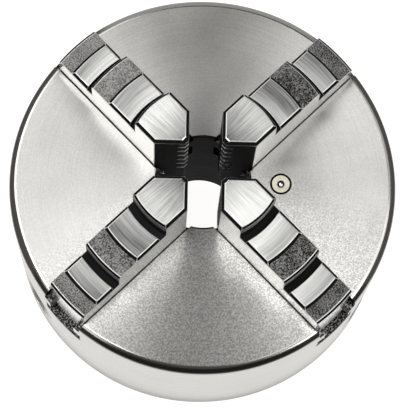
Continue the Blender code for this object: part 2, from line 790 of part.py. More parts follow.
def make_oiler(brass, bright, spring_steel):
    """Press-in oiler: a brass nipple, a ball under its mouth and a spring under the ball."""
    top = BODY_HEIGHT
    low = top - OILER_LENGTH
    profile = [
        (OILER_MOUTH_RADIUS, top - 0.5 * MM),
        (OILER_MOUTH_RADIUS + 0.15 * MM, top),
        (OILER_RADIUS - 0.2 * MM, top),
        (OILER_RADIUS, top - 0.2 * MM),
        (OILER_RADIUS, low),
        (OILER_FOOT_RADIUS, low),
        (OILER_FOOT_RADIUS, low + 0.7 * MM),
        (OILER_BORE_RADIUS, low + 0.7 * MM),
        (OILER_BORE_RADIUS, top - 0.9 * MM),
    ]
    place = (OILER_RADIUS_FROM_AXIS, 0, 0)
    nipple = finish(turned("oiler_nipple", profile, 24), brass)
    nipple.location = place

    bm = bmesh.new()
    bmesh.ops.create_uvsphere(bm, u_segments=16, v_segments=10, radius=OILER_BALL_RADIUS)
    ball = finish(add_object("oiler_ball", bm), bright)
    ball.location = (OILER_RADIUS_FROM_AXIS, 0, OILER_BALL_Z)

    foot = low + 0.7 * MM + SPRING_WIRE_RADIUS + 0.05 * MM
    head = OILER_BALL_Z - OILER_BALL_RADIUS * 0.72 - SPRING_WIRE_RADIUS - 0.12 * MM
    bm = bmesh.new()
    rings = []
    steps = 12 * SPRING_TURNS
    for i in range(steps + 1):
        angle = 2 * math.pi * i / 12
        z = foot + (head - foot) * i / steps
        ring = []
        for j in range(6):
            radius = SPRING_COIL_RADIUS + SPRING_WIRE_RADIUS * math.cos(math.pi * j / 3)
            height = z + SPRING_WIRE_RADIUS * math.sin(math.pi * j / 3)
            ring.append(bm.verts.new((radius * math.cos(angle), radius * math.sin(angle), height)))
        rings.append(ring)
    stitch_rings(bm, rings, closed=False)
    spring = finish(add_object("oiler_spring", bm), spring_steel)
    spring.location = place


# ---------------------------------------------------------------- assembly


def main():
    clear_scene()
    materials = {name: make_material(name) for name in MATERIALS}
    make_body(materials["ground_steel"])
    make_cover(materials["ground_steel"])
    make_cover_screws(materials["black_steel"])
    make_scroll(materials["gear_steel"])
    make_pinions(materials["gear_steel"])
    make_retaining_screws(materials["black_steel"])
    for number, degrees in enumerate(JAW_ANGLES, start=1):
        make_jaw(number, degrees, materials["jaw_steel"])
    make_oiler(materials["brass"], materials["bright_steel"], materials["bright_steel"])


main()
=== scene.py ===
"""The looks of a four-jaw self-centring scroll chuck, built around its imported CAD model.

Each piece stands for one CAD node: the same shape with round edges, finer curves and real
surfaces. It rides on that node's body. +Z is the spindle axis, and the rear face is at z = 0.
"""

import math

import bmesh
import bpy
import numpy as np
from mathutils import Matrix, Vector


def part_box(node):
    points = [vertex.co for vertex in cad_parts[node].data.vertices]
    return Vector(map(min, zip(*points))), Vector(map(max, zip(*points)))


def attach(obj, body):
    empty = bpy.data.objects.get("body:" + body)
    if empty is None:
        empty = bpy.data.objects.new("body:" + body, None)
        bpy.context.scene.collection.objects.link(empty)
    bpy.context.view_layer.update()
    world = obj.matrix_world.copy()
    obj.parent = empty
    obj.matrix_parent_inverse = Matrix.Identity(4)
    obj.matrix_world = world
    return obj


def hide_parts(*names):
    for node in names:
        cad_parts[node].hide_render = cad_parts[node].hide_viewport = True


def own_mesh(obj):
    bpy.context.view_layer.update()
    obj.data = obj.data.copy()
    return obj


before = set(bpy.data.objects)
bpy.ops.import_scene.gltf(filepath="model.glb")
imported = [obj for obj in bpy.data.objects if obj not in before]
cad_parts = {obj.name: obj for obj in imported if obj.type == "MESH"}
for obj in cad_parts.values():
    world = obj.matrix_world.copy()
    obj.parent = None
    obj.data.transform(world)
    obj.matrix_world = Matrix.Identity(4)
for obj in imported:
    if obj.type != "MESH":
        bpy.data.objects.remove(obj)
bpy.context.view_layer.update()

MM = 0.001

# Main sizes, read from the frame
body_low, body_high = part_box("chuck_body")
cover_low, cover_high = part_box("back_cover")
nipple_low, nipple_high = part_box("oiler_nipple")
ball_low, ball_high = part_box("oiler_ball")
spring_low, spring_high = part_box("oiler_spring")
scroll_low, scroll_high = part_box("scroll_plate")
pinion_low, pinion_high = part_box("pinion_1")
retainer_low, retainer_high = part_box("pinion_retaining_screw_1")
BODY_RADIUS = body_high.x
BODY_HEIGHT = body_high.z
JAW_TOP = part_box("jaw_1")[1].z

# Body
RIM_ROUND = 3.0 * MM
REAR_CHAMFER = 1.0 * MM
BORE_RADIUS = 15.0 * MM
BORE_CHAMFER = 0.7 * MM
REGISTER_RADIUS = 47.5 * MM
REGISTER_DEPTH = cover_low.z
HUB_RADIUS = 19.4 * MM
CAVITY_RADIUS = 40.6 * MM
CAVITY_TOP = 43.8 * MM
SHOULDER_Z = 10.0 * MM
BODY_SEGMENTS = 288

# Jaw slots, a T section with a guide rail on each wall
SLOT_HALF_WIDTH = 7.85 * MM
SLOT_FLOOR = 40.0 * MM
RAIL_LOW = 48.0 * MM
RAIL_HIGH = 54.0 * MM
RAIL_HALF_GAP = 5.35 * MM
SLOT_EDGE_ROUND = 0.25 * MM
RAIL_EDGE_ROUND = 0.2 * MM
SLOT_END_CHAMFER = 0.15 * MM

# Jaws, each in its own frame: u outwards from the chuck's axis, v across
JAW_ANGLES = (45, 135, 225, 315)
JAW_PAINTED_LIGHT = (-0.36, -0.14, -0.27, 0.35)  # painted light: each jaw's ground surfaces a little brighter or darker, as the light falls on it
JAW_BLAST = (-0.13, 0.22, 0.03, -0.13)  # and blasted a little lighter or darker
JAW_HALF_WIDTH = 7.65 * MM
JAW_BOTTOM = 44.1 * MM
JAW_V_START = 7.3 * MM
JAW_RIDGE_HALF_WIDTH = 0.8 * MM
JAW_OUTER_RADIUS = 59.8 * MM
JAW_EDGE_CHAMFER = 1.1 * MM
JAW_NOSE = (9.8 * MM, 0.6 * MM)
JAW_EDGE_ROUND = 0.17 * MM
JAW_COLUMNS = tuple(half * MM for half in (0.0, 0.8, 2.1, 3.4, 4.6, 5.9))  # inside the side chamfers
TIP_OUTER_RADIUS = 24.9 * MM
LAND_HEIGHT = 0.95 * MM
STEP_EDGE_CHAMFER = 0.8 * MM
TOOL_GROOVE_DROPS = (0.9 * MM, 3.0 * MM)
TOOL_GROOVE_DEPTH = 0.34 * MM
UNDERCUT_WIDTH = 2.35 * MM
UNDERCUT_DEPTH = 1.5 * MM
MIDDLE_STEP = (TIP_OUTER_RADIUS, 75.0 * MM, 35.9 * MM)
OUTER_STEP = (44.5 * MM, 66.65 * MM, 53.1 * MM)
SLIDE_GAP = 0.2 * MM
SERRATIONS = 6
SERRATION_DROP = 3.4 * MM
SERRATION_PITCH = 4.6 * MM
SERRATION_HEIGHT = 2.0 * MM
SERRATION_DEPTH = 1.8 * MM

# Scroll plate and pinions
SCROLL_PITCH = 6.0 * MM
SCROLL_FACE = SLOT_FLOOR
SCROLL_INNER_RADIUS = HUB_RADIUS + 0.3 * MM
SCROLL_OUTER_RADIUS = 40.0 * MM
THREAD_WIDTH = 2.75 * MM
THREAD_START_RADIUS = 21.2 * MM
THREAD_END_RADIUS = 39.6 * MM
THREAD_TOP = scroll_high.z
THREAD_STEPS_PER_TURN = 120
JAW_TOOTH_WIDTH = 2.2 * MM
JAW_TOOTH_HALF_LENGTH = 6.3 * MM
JAW_TEETH_FROM = 20.0 * MM
JAW_TEETH_TO = 57.5 * MM
JAW_TEETH_LOW = SCROLL_FACE + 0.3 * MM
PINION_ANGLES = (90, 210, 330)
PINION_Z = (pinion_low.z + pinion_high.z) / 2
PINION_TEETH = 9
CROWN_TEETH = 45
GEAR_INNER = 28.0 * MM
GEAR_OUTER = 39.0 * MM
PITCH_SLOPE = PINION_TEETH / CROWN_TEETH
ADDENDUM = 1.1 * MM
DEDENDUM = 1.4 * MM
TOOTH_TIP_HALF = 0.6 * MM
TOOTH_CREST_DROP = 0.12 * MM
PINION_ROOT_HALF = 1.15 * MM
CROWN_ROOT_HALF = 1.6 * MM
PINION_JOURNAL = 9.0 * MM
PINION_HOLE = 9.3 * MM
PINION_JOURNAL_START = 41.4 * MM
PINION_FACE = pinion_high.y
PINION_GROOVE = (51.5 * MM, 56.5 * MM, 7.0 * MM)
KEY_SQUARE = 8.0 * MM
KEY_DEPTH = 13.5 * MM

# Holes and screws
RETAINER_CIRCLE = 54.0 * MM
RETAINER_HOLE = 3.0 * MM
RETAINER_THREAD = (0.3 * MM, 0.8 * MM)  # depth and pitch
RETAINER_POINT_RADIUS = 1.8 * MM
MOUNT_HOLE_ANGLES = (30, 150, 270)
MOUNT_HOLE_CIRCLE = 54.0 * MM
MOUNT_HOLE_RADIUS = 3.4 * MM
MOUNT_HOLE_DEPTH = 16.0 * MM
MOUNT_THREAD_RADIUS = 4.0 * MM
MOUNT_THREAD_PITCH = 1.25 * MM
COVER_SCREW_ANGLES = (0, 60, 120, 180, 240, 300)
COVER_SCREW_CIRCLE = 43.9 * MM
COVER_SCREW_RADIUS = 1.3 * MM
COVER_SCREW_HOLE = 1.6 * MM
COVER_SCREW_HEAD_RADIUS = 2.7 * MM
COVER_SCREW_LENGTH = 10.0 * MM
COVER_SCREW_THREAD = (0.25 * MM, 0.5 * MM)
HEX_KEY = 2.5 * MM
COVER_RECESS_RADIUS = 3.0 * MM
COVER_RECESS_DEPTH = 3.4 * MM
COVER_RADIUS = cover_high.x
COVER_INNER_RADIUS = HUB_RADIUS + 0.3 * MM
COVER_BOSS_RADIUS = 25.4 * MM

# Oiler
OILER_X = (nipple_low.x + nipple_high.x) / 2
OILER_RADIUS = (nipple_high.x - nipple_low.x) / 2
OILER_LENGTH = nipple_high.z - nipple_low.z
OILER_POCKET_RADIUS = 3.4 * MM
OILER_MOUTH_RADIUS = 1.1 * MM
OILER_BORE_RADIUS = 1.6 * MM
OILER_FOOT_RADIUS = 0.8 * MM
OIL_DUCT_RADIUS = 1.0 * MM
SPRING_TURNS = 3
SPRING_STEPS_PER_TURN = 40
SPRING_WIRE = 0.14 * MM


# ---- mesh helpers


WELD = 0.004 * MM
ROUNDED_FROM = math.radians(33)


def new_object(name, bm):
    """An object made from a bmesh, with its faces turned outwards."""
    bmesh.ops.recalc_face_normals(bm, faces=bm.faces)
    mesh = bpy.data.meshes.new(name)
    bm.to_mesh(mesh)
    bm.free()
    obj = bpy.data.objects.new(name, mesh)
    bpy.context.scene.collection.objects.link(obj)
    return obj


def stitch_rings(bm, rings, closed):
    """Quads between neighbouring rings; an open stack gets a face on each end."""
    count = len(rings[0])
    pairs = list(zip(rings, rings[1:]))
    if closed:
        pairs.append((rings[-1], rings[0]))
    for lower, upper in pairs:
        for i in range(count):
            j = (i + 1) % count
            bm.faces.new((lower[i], lower[j], upper[j], upper[i]))
    if not closed:
        bm.faces.new(rings[0])
        bm.faces.new(rings[-1])


def polar(radius, degrees):
    angle = math.radians(degrees)
    return radius * math.cos(angle), radius * math.sin(angle)


def arc(centre, radius, start, end, steps):
    """Points on an arc, both ends included; angles in degrees."""
    points = []
    for i in range(steps + 1):
        x, y = polar(radius, start + (end - start) * i / steps)
        points.append((centre[0] + x, centre[1] + y))
    return points


def fillet(corners, closed=True, steps=4):
    """An outline from (x, y, radius) corners, each with an arc of that radius in its place."""
    points = []
    count = len(corners)
    for i, (x, y, radius) in enumerate(corners):
        ends = not closed and i in (0, count - 1)
        if radius == 0 or ends:
            points.append((x, y))
            continue
        here = Vector((x, y))
        to_last = Vector(corners[i - 1][:2]) - here
        to_next = Vector(corners[(i + 1) % count][:2]) - here
        half = to_last.angle(to_next) / 2
        reach = min(radius / math.tan(half), 0.48 * to_last.length, 0.48 * to_next.length)
        radius = reach * math.tan(half)
        bisector = (to_last.normalized() + to_next.normalized()).normalized()
        centre = here + bisector * radius / math.sin(half)
        first = here + to_last.normalized() * reach - centre
        last = here + to_next.normalized() * reach - centre
        start = math.atan2(first.y, first.x)
        sweep = (math.atan2(last.y, last.x) - start + math.pi) % (2 * math.pi) - math.pi
        points += arc(centre, radius, math.degrees(start), math.degrees(start + sweep), steps)
    return points


def turned(name, profile, segments, closed=False):
    """A solid turned about Z. A closed profile makes a tube; an open one is capped flat at both ends."""
    turns = [2 * math.pi * i / segments for i in range(segments)]
    rings = [[(radius * math.cos(a), radius * math.sin(a), z) for a in turns] for radius, z in profile]
    return loft(name, rings, closed)


def loft(name, rings, closed=False):
    """A solid through rings of points, with a face on each end unless it is closed."""
    bm = bmesh.new()
    stitch_rings(bm, [[bm.verts.new(point) for point in ring] for ring in rings], closed)
    return new_object(name, bm)


def coil(name, section, radius, turns, steps_per_turn, advance=0.0, rise=0.0):
    """A section swept round Z; each turn takes it outwards by advance and up by rise."""
    rings = []
    for i in range(round(turns * steps_per_turn) + 1):
        turn = i / steps_per_turn
        c, s = math.cos(2 * math.pi * turn), math.sin(2 * math.pi * turn)
        out, up = radius + advance * turn, rise * turn
        rings.append([((out + x) * c, (out + x) * s, z + up) for x, z in section])
    return loft(name, rings)


def prism(name, outline, low, high):
    """A flat outline in X and Y, extruded from low to high along Z."""
    return loft(name, [[(x, y, z) for x, y in outline] for z in (low, high)])


def join(objects):
    """One object out of several that don't touch."""
    first, rest = objects[0], objects[1:]
    bm = bmesh.new()
    for obj in objects:
        bm.from_mesh(obj.data)
    bm.to_mesh(first.data)
    bm.free()
    for obj in rest:
        bpy.data.objects.remove(obj, do_unlink=True)
    return first


def combine(obj, tool, operation="DIFFERENCE"):
    """Applies a Boolean of obj with tool, then removes the tool."""
    modifier = obj.modifiers.new("boolean", "BOOLEAN")
    modifier.operation = operation
    modifier.solver = "EXACT"
    modifier.object = tool
    apply_modifiers(obj)
    bpy.data.objects.remove(tool, do_unlink=True)
    return obj


def apply_modifiers(obj):
    graph = bpy.context.evaluated_depsgraph_get()
    result = bpy.data.meshes.new_from_object(obj.evaluated_get(graph))
    obj.modifiers.clear()
    obj.data = result


def put(obj, matrix):
    """Moves an object's mesh, leaving its origin where it is."""
    obj.data.transform(matrix)
    return obj


def turn_z(degrees):
    return Matrix.Rotation(math.radians(degrees), 4, "Z")


def shift(x, y, z):
    return Matrix.Translation((x, y, z))


def on_circle(radius, degrees, z=0.0):
    """Moves a piece made on the axis out to a circle about it."""
    return shift(*polar(radius, degrees), z)


def along_x():
    """Turns a piece made along Z to lie along +X, with its local +X pointing up."""
    return Matrix(((0, 0, 1, 0), (0, -1, 0, 0), (1, 0, 0, 0), (0, 0, 0, 1)))


def round_edges(obj, width, material, is_worn):
    """Rounds the outer edges sharper than ROUNDED_FROM. Those whose middle is_worn get that material."""
    bm = bmesh.new()
    bm.from_mesh(obj.data)
    bmesh.ops.remove_doubles(bm, verts=bm.verts, dist=WELD)
    bmesh.ops.dissolve_degenerate(bm, edges=bm.edges, dist=WELD)
    for index, worn in ((material, True), (-1, False)):
        outer = []
        for edge in bm.edges:
            if len(edge.link_faces) != 2 or edge.calc_face_angle_signed(0) <= ROUNDED_FROM:
                continue
            if is_worn((edge.verts[0].co + edge.verts[1].co) / 2) == worn:
                outer.append(edge)
        bmesh.ops.bevel(
            bm, geom=outer, offset=width, offset_type="OFFSET", segments=2,
            profile=0.5, affect="EDGES", clamp_overlap=False, material=index,
        )
    bm.to_mesh(obj.data)
    bm.free()
    return obj


def shade(obj, angle=30):
    """Smooth shading that keeps flat faces flat."""
    obj.data.shade_smooth()
    obj.data.set_sharp_from_angle(angle=math.radians(angle))
    modifier = obj.modifiers.new("flat_faces", "WEIGHTED_NORMAL")
    modifier.keep_sharp = True
    modifier.weight = 80
    apply_modifiers(obj)
    return obj


def keep_coordinates(obj, lift=0.0, painted_light=0.0, blast=0.0):
    """Stores each point's place in the piece's own frame, in mm, for its surface patterns to follow.

    lift moves the patterns up in mm, so that pieces alike in shape differ. The next value is painted
    light that makes the piece's ground surfaces brighter, and blast makes its blasted ones brighter.
    """
    count = len(obj.data.vertices)
    places = np.empty(count * 3, np.float32)
    obj.data.vertices.foreach_get("co", places)
    places /= MM
    places[2::3] += lift
    attribute = obj.data.attributes.new("place_mm", "FLOAT_VECTOR", "POINT")
    attribute.data.foreach_set("vector", places)
    for name, value in (("painted_light", painted_light), ("blast", blast)):
        attribute = obj.data.attributes.new(name, "FLOAT", "POINT")
        attribute.data.foreach_set("value", np.full(count, value, np.float32))
    return obj


def paint(obj, materials, choose):
    """Gives each face the material whose index choose(centre, normal) returns."""
    obj.data.materials.clear()
    for material in materials:
        obj.data.materials.append(material)
    for polygon in obj.data.polygons:
        polygon.material_index = choose(polygon.center, polygon.normal)
    return obj


def stand_for(obj, node, body, materials, choose=lambda centre, normal: 0):
    """Paints and shades obj, which then takes the CAD node's place and its body."""
    keep_coordinates(obj)
    paint(obj, materials, choose)
    shade(obj)
    settle(obj, node, body)


def settle(obj, node, body):
    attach(obj, body)
    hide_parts(node)


# ---- surfaces


class Surface:
    """A Principled material and the nodes that its patterns need. Lengths are in mm."""

    def __init__(self, name, **sockets):
        self.material = bpy.data.materials.new(name)
        self.material.use_nodes = True
        self.tree = self.material.node_tree
        self.shader = self.tree.nodes["Principled BSDF"]
        for socket, value in sockets.items():
            self.shader.inputs[socket.replace("_", " ")].default_value = value
        self.place = self.add("ShaderNodeAttribute", attribute_name="place_mm").outputs["Vector"]
        # painted light per piece, which brightens or darkens its ground surfaces
        self.painted_light = self.add("ShaderNodeAttribute", attribute_name="painted_light").outputs["Fac"]
        self.blast = self.add("ShaderNodeAttribute", attribute_name="blast").outputs["Fac"]

    def add(self, kind, inputs=(), **settings):
        node = self.tree.nodes.new(kind)
        for name, value in settings.items():
            setattr(node, name, value)
        for index, value in enumerate(inputs):
            if isinstance(value, bpy.types.NodeSocket):
                self.tree.links.new(value, node.inputs[index])
            elif value is not None:
                node.inputs[index].default_value = value
        return node

    def link(self, value, socket):
        self.tree.links.new(value, self.shader.inputs[socket])

    def maths(self, operation, first, second=0.0):
        return self.add("ShaderNodeMath", (first, second), operation=operation).outputs[0]

    def plus(self, first, second):
        return self.maths("ADD", first, second)

    def times(self, first, second):
        return self.maths("MULTIPLY", first, second)

    def axes(self):
        """The place's x, y and z."""
        return self.add("ShaderNodeSeparateXYZ", (self.place,)).outputs

    def stretch(self, x, y, z):
        """The place with each axis scaled, so that a pattern is longer where the scale is small."""
        return self.add("ShaderNodeVectorMath", (self.place, (x, y, z)), operation="MULTIPLY").outputs[0]

    def around(self, per_turn, across):
        """Cylindrical coordinates about Z: across the radius and height, and per_turn round the axis."""
        x, y, z = self.axes()
        radius = self.maths("SQRT", self.plus(self.times(x, x), self.times(y, y)))
        turns = self.times(self.maths("ARCTAN2", y, x), per_turn / (2 * math.pi))
        parts = (self.times(radius, across), turns, self.times(z, across))
        return self.add("ShaderNodeCombineXYZ", parts).outputs[0]

    def noise(self, where, scale, detail=2.0, roughness=0.5):
        """A grey noise about 0.5; scale is in features per mm."""
        inputs = (where, None, scale, detail, roughness)
        return self.add("ShaderNodeTexNoise", inputs, noise_dimensions="3D").outputs["Fac"]

    def spread(self, value, low, high, start=0.3, end=0.7):
        """Maps start..end of a pattern to low..high."""
        return self.add("ShaderNodeMapRange", (value, start, end, low, high)).outputs["Result"]

    def colour(self, factor, dark, light):
        """A colour between dark and light, by a factor that is kept within 0 and 1."""
        node = self.add("ShaderNodeMix", data_type="RGBA")
        self.tree.links.new(factor, node.inputs["Factor"])
        node.inputs["A"].default_value = (*dark, 1.0)
        node.inputs["B"].default_value = (*light, 1.0)
        self.link(next(o for o in node.outputs if o.type == "RGBA"), "Base Color")

    def roughen(self, value, low, high):
        self.link(self.spread(value, low, high), "Roughness")

    def bump(self, height, distance, strength=1.0):
        """Relief; distance is its depth in mm."""
        node = self.add("ShaderNodeBump")
        node.inputs["Strength"].default_value = strength
        node.inputs["Distance"].default_value = distance * MM
        self.tree.links.new(height, node.inputs["Height"])
        self.link(node.outputs["Normal"], "Normal")

    def mix(self, first, second, share=0.5):
        """A weighted sum of two patterns."""
        return self.plus(self.times(first, 1 - share), self.times(second, share))

    def lay(self, radial):
        """Lays the gloss across turning marks about Z (radial) or along the piece's own brush lines."""
        if radial:
            tangent = self.add("ShaderNodeTangent", direction_type="RADIAL", axis="Z")
        else:
            tangent = self.add("ShaderNodeTangent", direction_type="UV_MAP", uv_map="brush")
        self.tree.links.new(tangent.outputs[0], self.shader.inputs["Tangent"])


def turned_steel():
    """Fine-turned and ground steel: rings about the axis that spread its gloss along the radius.

    A sandy grain, the steel's own, has its strength painted as sparkle: it shows in front, fades towards
    the right and the left, and is gone behind.
    """
    s = Surface("turned_steel", Metallic=1.0, Anisotropic=0.9, Anisotropic_Rotation=0.25)
    rings = s.noise(s.around(8, 3.0), 1.0, 3.0, 0.6)
    cloud = s.noise(s.place, 0.05, 2.0)
    x, y, _ = s.axes()
    aside = s.maths("SUBTRACT", s.times(s.maths("ABSOLUTE", x), 0.6), s.times(x, 0.2))
    # painted sparkle: how strongly the grain shows, by side
    painted_sparkle = s.spread(s.plus(y, aside), 3.0, 0.4, -22.0, 18.0)
    grain = s.spread(s.noise(s.place, 2.3, 5.0, 0.85), -0.5, 0.5, 0.41, 0.59)
    tone = s.plus(s.mix(rings, cloud, 0.5), s.times(grain, s.times(painted_sparkle, 0.7)))
    s.colour(tone, (0.46, 0.454, 0.434), (0.96, 0.948, 0.915))
    s.roughen(s.mix(rings, cloud, 0.4), 0.42, 0.50)
    s.bump(s.mix(rings, grain, 0.3), 0.004)
    s.lay(radial=True)
    return s.material


def marked(name, run, noise, dark, light, gloss, relief, patches, sockets):
    """A material with one pattern of marks, from a row of MARKED."""
    s = Surface(name, **sockets)
    where = s.place
    if run:
        where = s.around(*run) if len(run) == 2 else s.stretch(*run)
    marks = s.noise(where, *noise)
    tone = s.mix(marks, s.noise(s.place, patches[0]), patches[1]) if patches else marks
    s.colour(tone, dark, light)
    s.roughen(marks, *gloss)
    s.bump(marks, relief)
    if "Anisotropic" in sockets:
        s.lay(radial=True)
    return s.material


def grey(value):
    return value, value, value


METAL = {"Metallic": 1.0}
GROUND_METAL = {"Metallic": 1.0, "Anisotropic": 0.5, "Anisotropic_Rotation": 0.25}
BLACK = {"Metallic": 0.0, "Specular_IOR_Level": 0.01}
DULL_BLACK = {"Metallic": 0.0, "Specular_IOR_Level": 0.03}
FINE, SOFT, STRAIGHT = (1.0, 3.0, 0.6), (1.0, 2.0, 0.6), (2.5, 2.5, 0.15)
MARKED = {
    # How the marks run: around(...) for two numbers, stretch(...) for three, no direction for None.
    # Their scale, detail and roughness; dark and light; gloss from and to; relief in mm; the scale and
    # share of soft patches in the colour; the shader's own sockets.
    "ground_side": (  # the rim and side, ground round the body
        (6, 2.5), FINE, (0.50, 0.485, 0.463), (0.64, 0.622, 0.598), (0.26, 0.34), 0.003, (0.06, 0.5),
        GROUND_METAL),
    "bore_painted_shade": (  # the bore and the inside, near black as painted shade, with tool rings
        (3, 1.6), SOFT, grey(0.004), (0.016, 0.016, 0.017), (0.4, 0.6), 0.02, None, BLACK),
    "rim_steel": (  # the round of the rim, smooth enough to mirror the dark room round the chuck
        (6, 2.0), (1.0, 2.0, 0.5), (0.42, 0.40, 0.38), (0.60, 0.58, 0.55), (0.13, 0.2), 0.001, None, METAL),
    "ground_steel": (  # flats with fine straight marks along the piece
        (0.06, 3.0, 3.0), FINE, (0.88, 0.877, 0.86), (1.0, 0.997, 0.98), (0.16, 0.28), 0.004, (0.12, 0.4),
        METAL),
    "wall_painted_shade": (  # step walls and undercuts, turned and hardened; near black without gloss as painted shade
        (0.05, 0.05, 1.6), FINE, grey(0.004), grey(0.03), (0.4, 0.5), 0.03, None, DULL_BLACK),
    "grip_painted_shade": (  # hardened, with fine vertical marks; near black without gloss as painted shade
        STRAIGHT, FINE, grey(0.004), grey(0.020), (0.4, 0.55), 0.01, None, BLACK),
    "worn_edge": (  # worn bright by handling
        None, (1.2, 3.0, 0.6), (0.55, 0.55, 0.54), (0.98, 0.98, 0.97), (0.35, 0.5), 0.004, None, METAL),
    "gear_steel": (  # hobbed and hardened
        None, (1.6, 3.0, 0.6), (0.20, 0.20, 0.205), grey(0.46), (0.28, 0.42), 0.01, (0.15, 0.5), METAL),
    "oiler_brass": (  # pale and turned
        None, (0.9, 3.0, 0.6), (0.93, 0.87, 0.66), (1.0, 0.975, 0.82), (0.3, 0.42), 0.004, None, METAL),
    "polished_ball": (  # polished, with a faint smear
        None, (1.5, 2.0, 0.5), grey(0.78), grey(0.93), (0.07, 0.14), 0.001, None, METAL),
}
# The chamfers and the oiler's mouth take the same painted shade as the gripping faces.
MARKED["black_edge"] = MARKED["oily_mouth"] = MARKED["grip_painted_shade"]


def milled_slot():
    """Slot walls and floor: milled, near black, with large bright grains."""
    s = Surface("milled_slot", Metallic=0.7, Specular_IOR_Level=0.2)
    grain = s.noise(s.place, 1.6, 4.0, 0.75)
    marks = s.noise(s.stretch(1.0, 1.0, 0.25), 0.8, 2.0, 0.5)
    s.colour(s.spread(grain, 0, 1, 0.50, 0.60), (0.006, 0.006, 0.006), (0.55, 0.54, 0.53))
    s.roughen(grain, 0.4, 0.6)
    s.bump(s.mix(grain, marks, 0.4), 0.08)
    return s.material


def brushed_tip():
    """The jaw tips' tops: bright, a fan of fine grinding lines, duller towards the ridge; painted light per
    jaw.
    """
    s = Surface("brushed_tip", Metallic=1.0, Anisotropic=0.8)
    x, y, _ = s.axes()
    across = s.times(s.maths("DIVIDE", y, s.plus(x, 22.0)), 150.0)
    fan = s.add("ShaderNodeCombineXYZ", (s.times(x, 0.08), across, 0.0)).outputs[0]
    lines = s.noise(fan, 1.0, 4.0, 0.7)
    tone = s.mix(s.spread(lines, 0, 1, 0.35, 0.6), s.spread(x, 0.0, 1.0, 9.0, 20.0), 0.55)
    # painted light per jaw
    s.colour(s.plus(tone, s.times(s.painted_light, 0.5)), (0.08, 0.08, 0.078), (0.93, 0.928, 0.90))
    s.roughen(lines, 0.36, 0.46)
    s.bump(lines, 0.006)
    s.lay(radial=False)
    return s.material


def bright_land():
    """The ground lands of the steps, with a painted highlight at the foot of each wall."""
    s = Surface("bright_land", Metallic=1.0, Anisotropic=0.88)
    x, y, _ = s.axes()
    radius = s.plus(x, s.times(s.maths("ABSOLUTE", y), 0.07))
    first, second = ((step[0] + UNDERCUT_WIDTH) / MM for step in (MIDDLE_STEP, OUTER_STEP))
    from_wall = s.maths("FLOORED_MODULO", s.maths("SUBTRACT", radius, first), second - first)
    # painted highlight: brightest at the foot of each wall, more on one side of the jaw
    glow = s.spread(s.plus(from_wall, s.times(y, 0.2)), 1, 0, 1.0, 6.0)
    arcs = s.noise(s.around(9, 1.3), 1.0, 4.0, 0.7)
    tone = s.spread(s.mix(s.spread(arcs, 0, 1, 0.35, 0.65), glow, 0.55), 0.2, 0.85, 0, 1)
    # painted light per jaw
    s.colour(s.plus(tone, s.times(s.painted_light, 0.6)), (0.10, 0.10, 0.097), (0.92, 0.918, 0.89))
    s.roughen(arcs, 0.34, 0.42)
    s.bump(arcs, 0.003)
    s.lay(radial=False)
    return s.material


def blasted_tread():
    """The jaws' unground treads: dark, matt and speckled."""
    s = Surface("blasted_tread", Metallic=0.9)
    speck = s.noise(s.place, 2.1, 2.0, 0.8)
    cloud = s.noise(s.place, 0.25, 1.0)
    tone = s.plus(s.spread(s.mix(speck, cloud, 0.15), 0, 1, 0.40, 0.65), s.blast)
    s.colour(tone, (0.005, 0.005, 0.005), (0.40, 0.396, 0.38))
    s.roughen(speck, 0.45, 0.6)
    s.bump(speck, 0.10)
    return s.material


def notched_steel():
    """The floors of the ridge's notches: oiled steel, dull where it isn't polished by use; painted light per
    jaw.
    """
    s = Surface("notched_steel", Metallic=1.0)
    wear = s.noise(s.place, 1.5, 3.0, 0.6)
    # painted light per jaw
    s.colour(s.plus(wear, s.painted_light), (0.03, 0.03, 0.03), (0.9, 0.9, 0.89))
    s.roughen(wear, 0.35, 0.5)
    s.bump(wear, 0.01)
    return s.material


def black_oxide():
    """Screws: black oxide, worn a little brighter in patches."""
    s = Surface("black_oxide", Metallic=0.7)
    cloud = s.noise(s.place, 0.9, 4.0, 0.6)
    s.colour(s.spread(cloud, 0, 1, 0.45, 0.75), (0.018, 0.018, 0.02), (0.10, 0.10, 0.105))
    s.roughen(cloud, 0.32, 0.5)
    s.bump(cloud, 0.01)
    return s.material


# ---- body


def body_profile():
    corners = [
        (BORE_RADIUS, REGISTER_DEPTH, 0.3 * MM),
        (BORE_RADIUS, BODY_HEIGHT - BORE_CHAMFER, 0.3 * MM),
        (BORE_RADIUS + BORE_CHAMFER, BODY_HEIGHT, 0.15 * MM),
    ]
    rim = arc((BODY_RADIUS - RIM_ROUND, BODY_HEIGHT - RIM_ROUND), RIM_ROUND, 90, 0, 12)
    corners += [(r, z, 0) for r, z in rim]
    corners += [
        (BODY_RADIUS, REAR_CHAMFER, 0.3 * MM),
        (BODY_RADIUS - REAR_CHAMFER, 0, 0.3 * MM),
        (REGISTER_RADIUS, 0, 0.3 * MM),
        (REGISTER_RADIUS, SHOULDER_Z, 0),
        (CAVITY_RADIUS, SHOULDER_Z, 0.2 * MM),
        (CAVITY_RADIUS, CAVITY_TOP, 0),
        (HUB_RADIUS, CAVITY_TOP, 0),
        (HUB_RADIUS, REGISTER_DEPTH, 0.2 * MM),
    ]
    return fillet(corners)


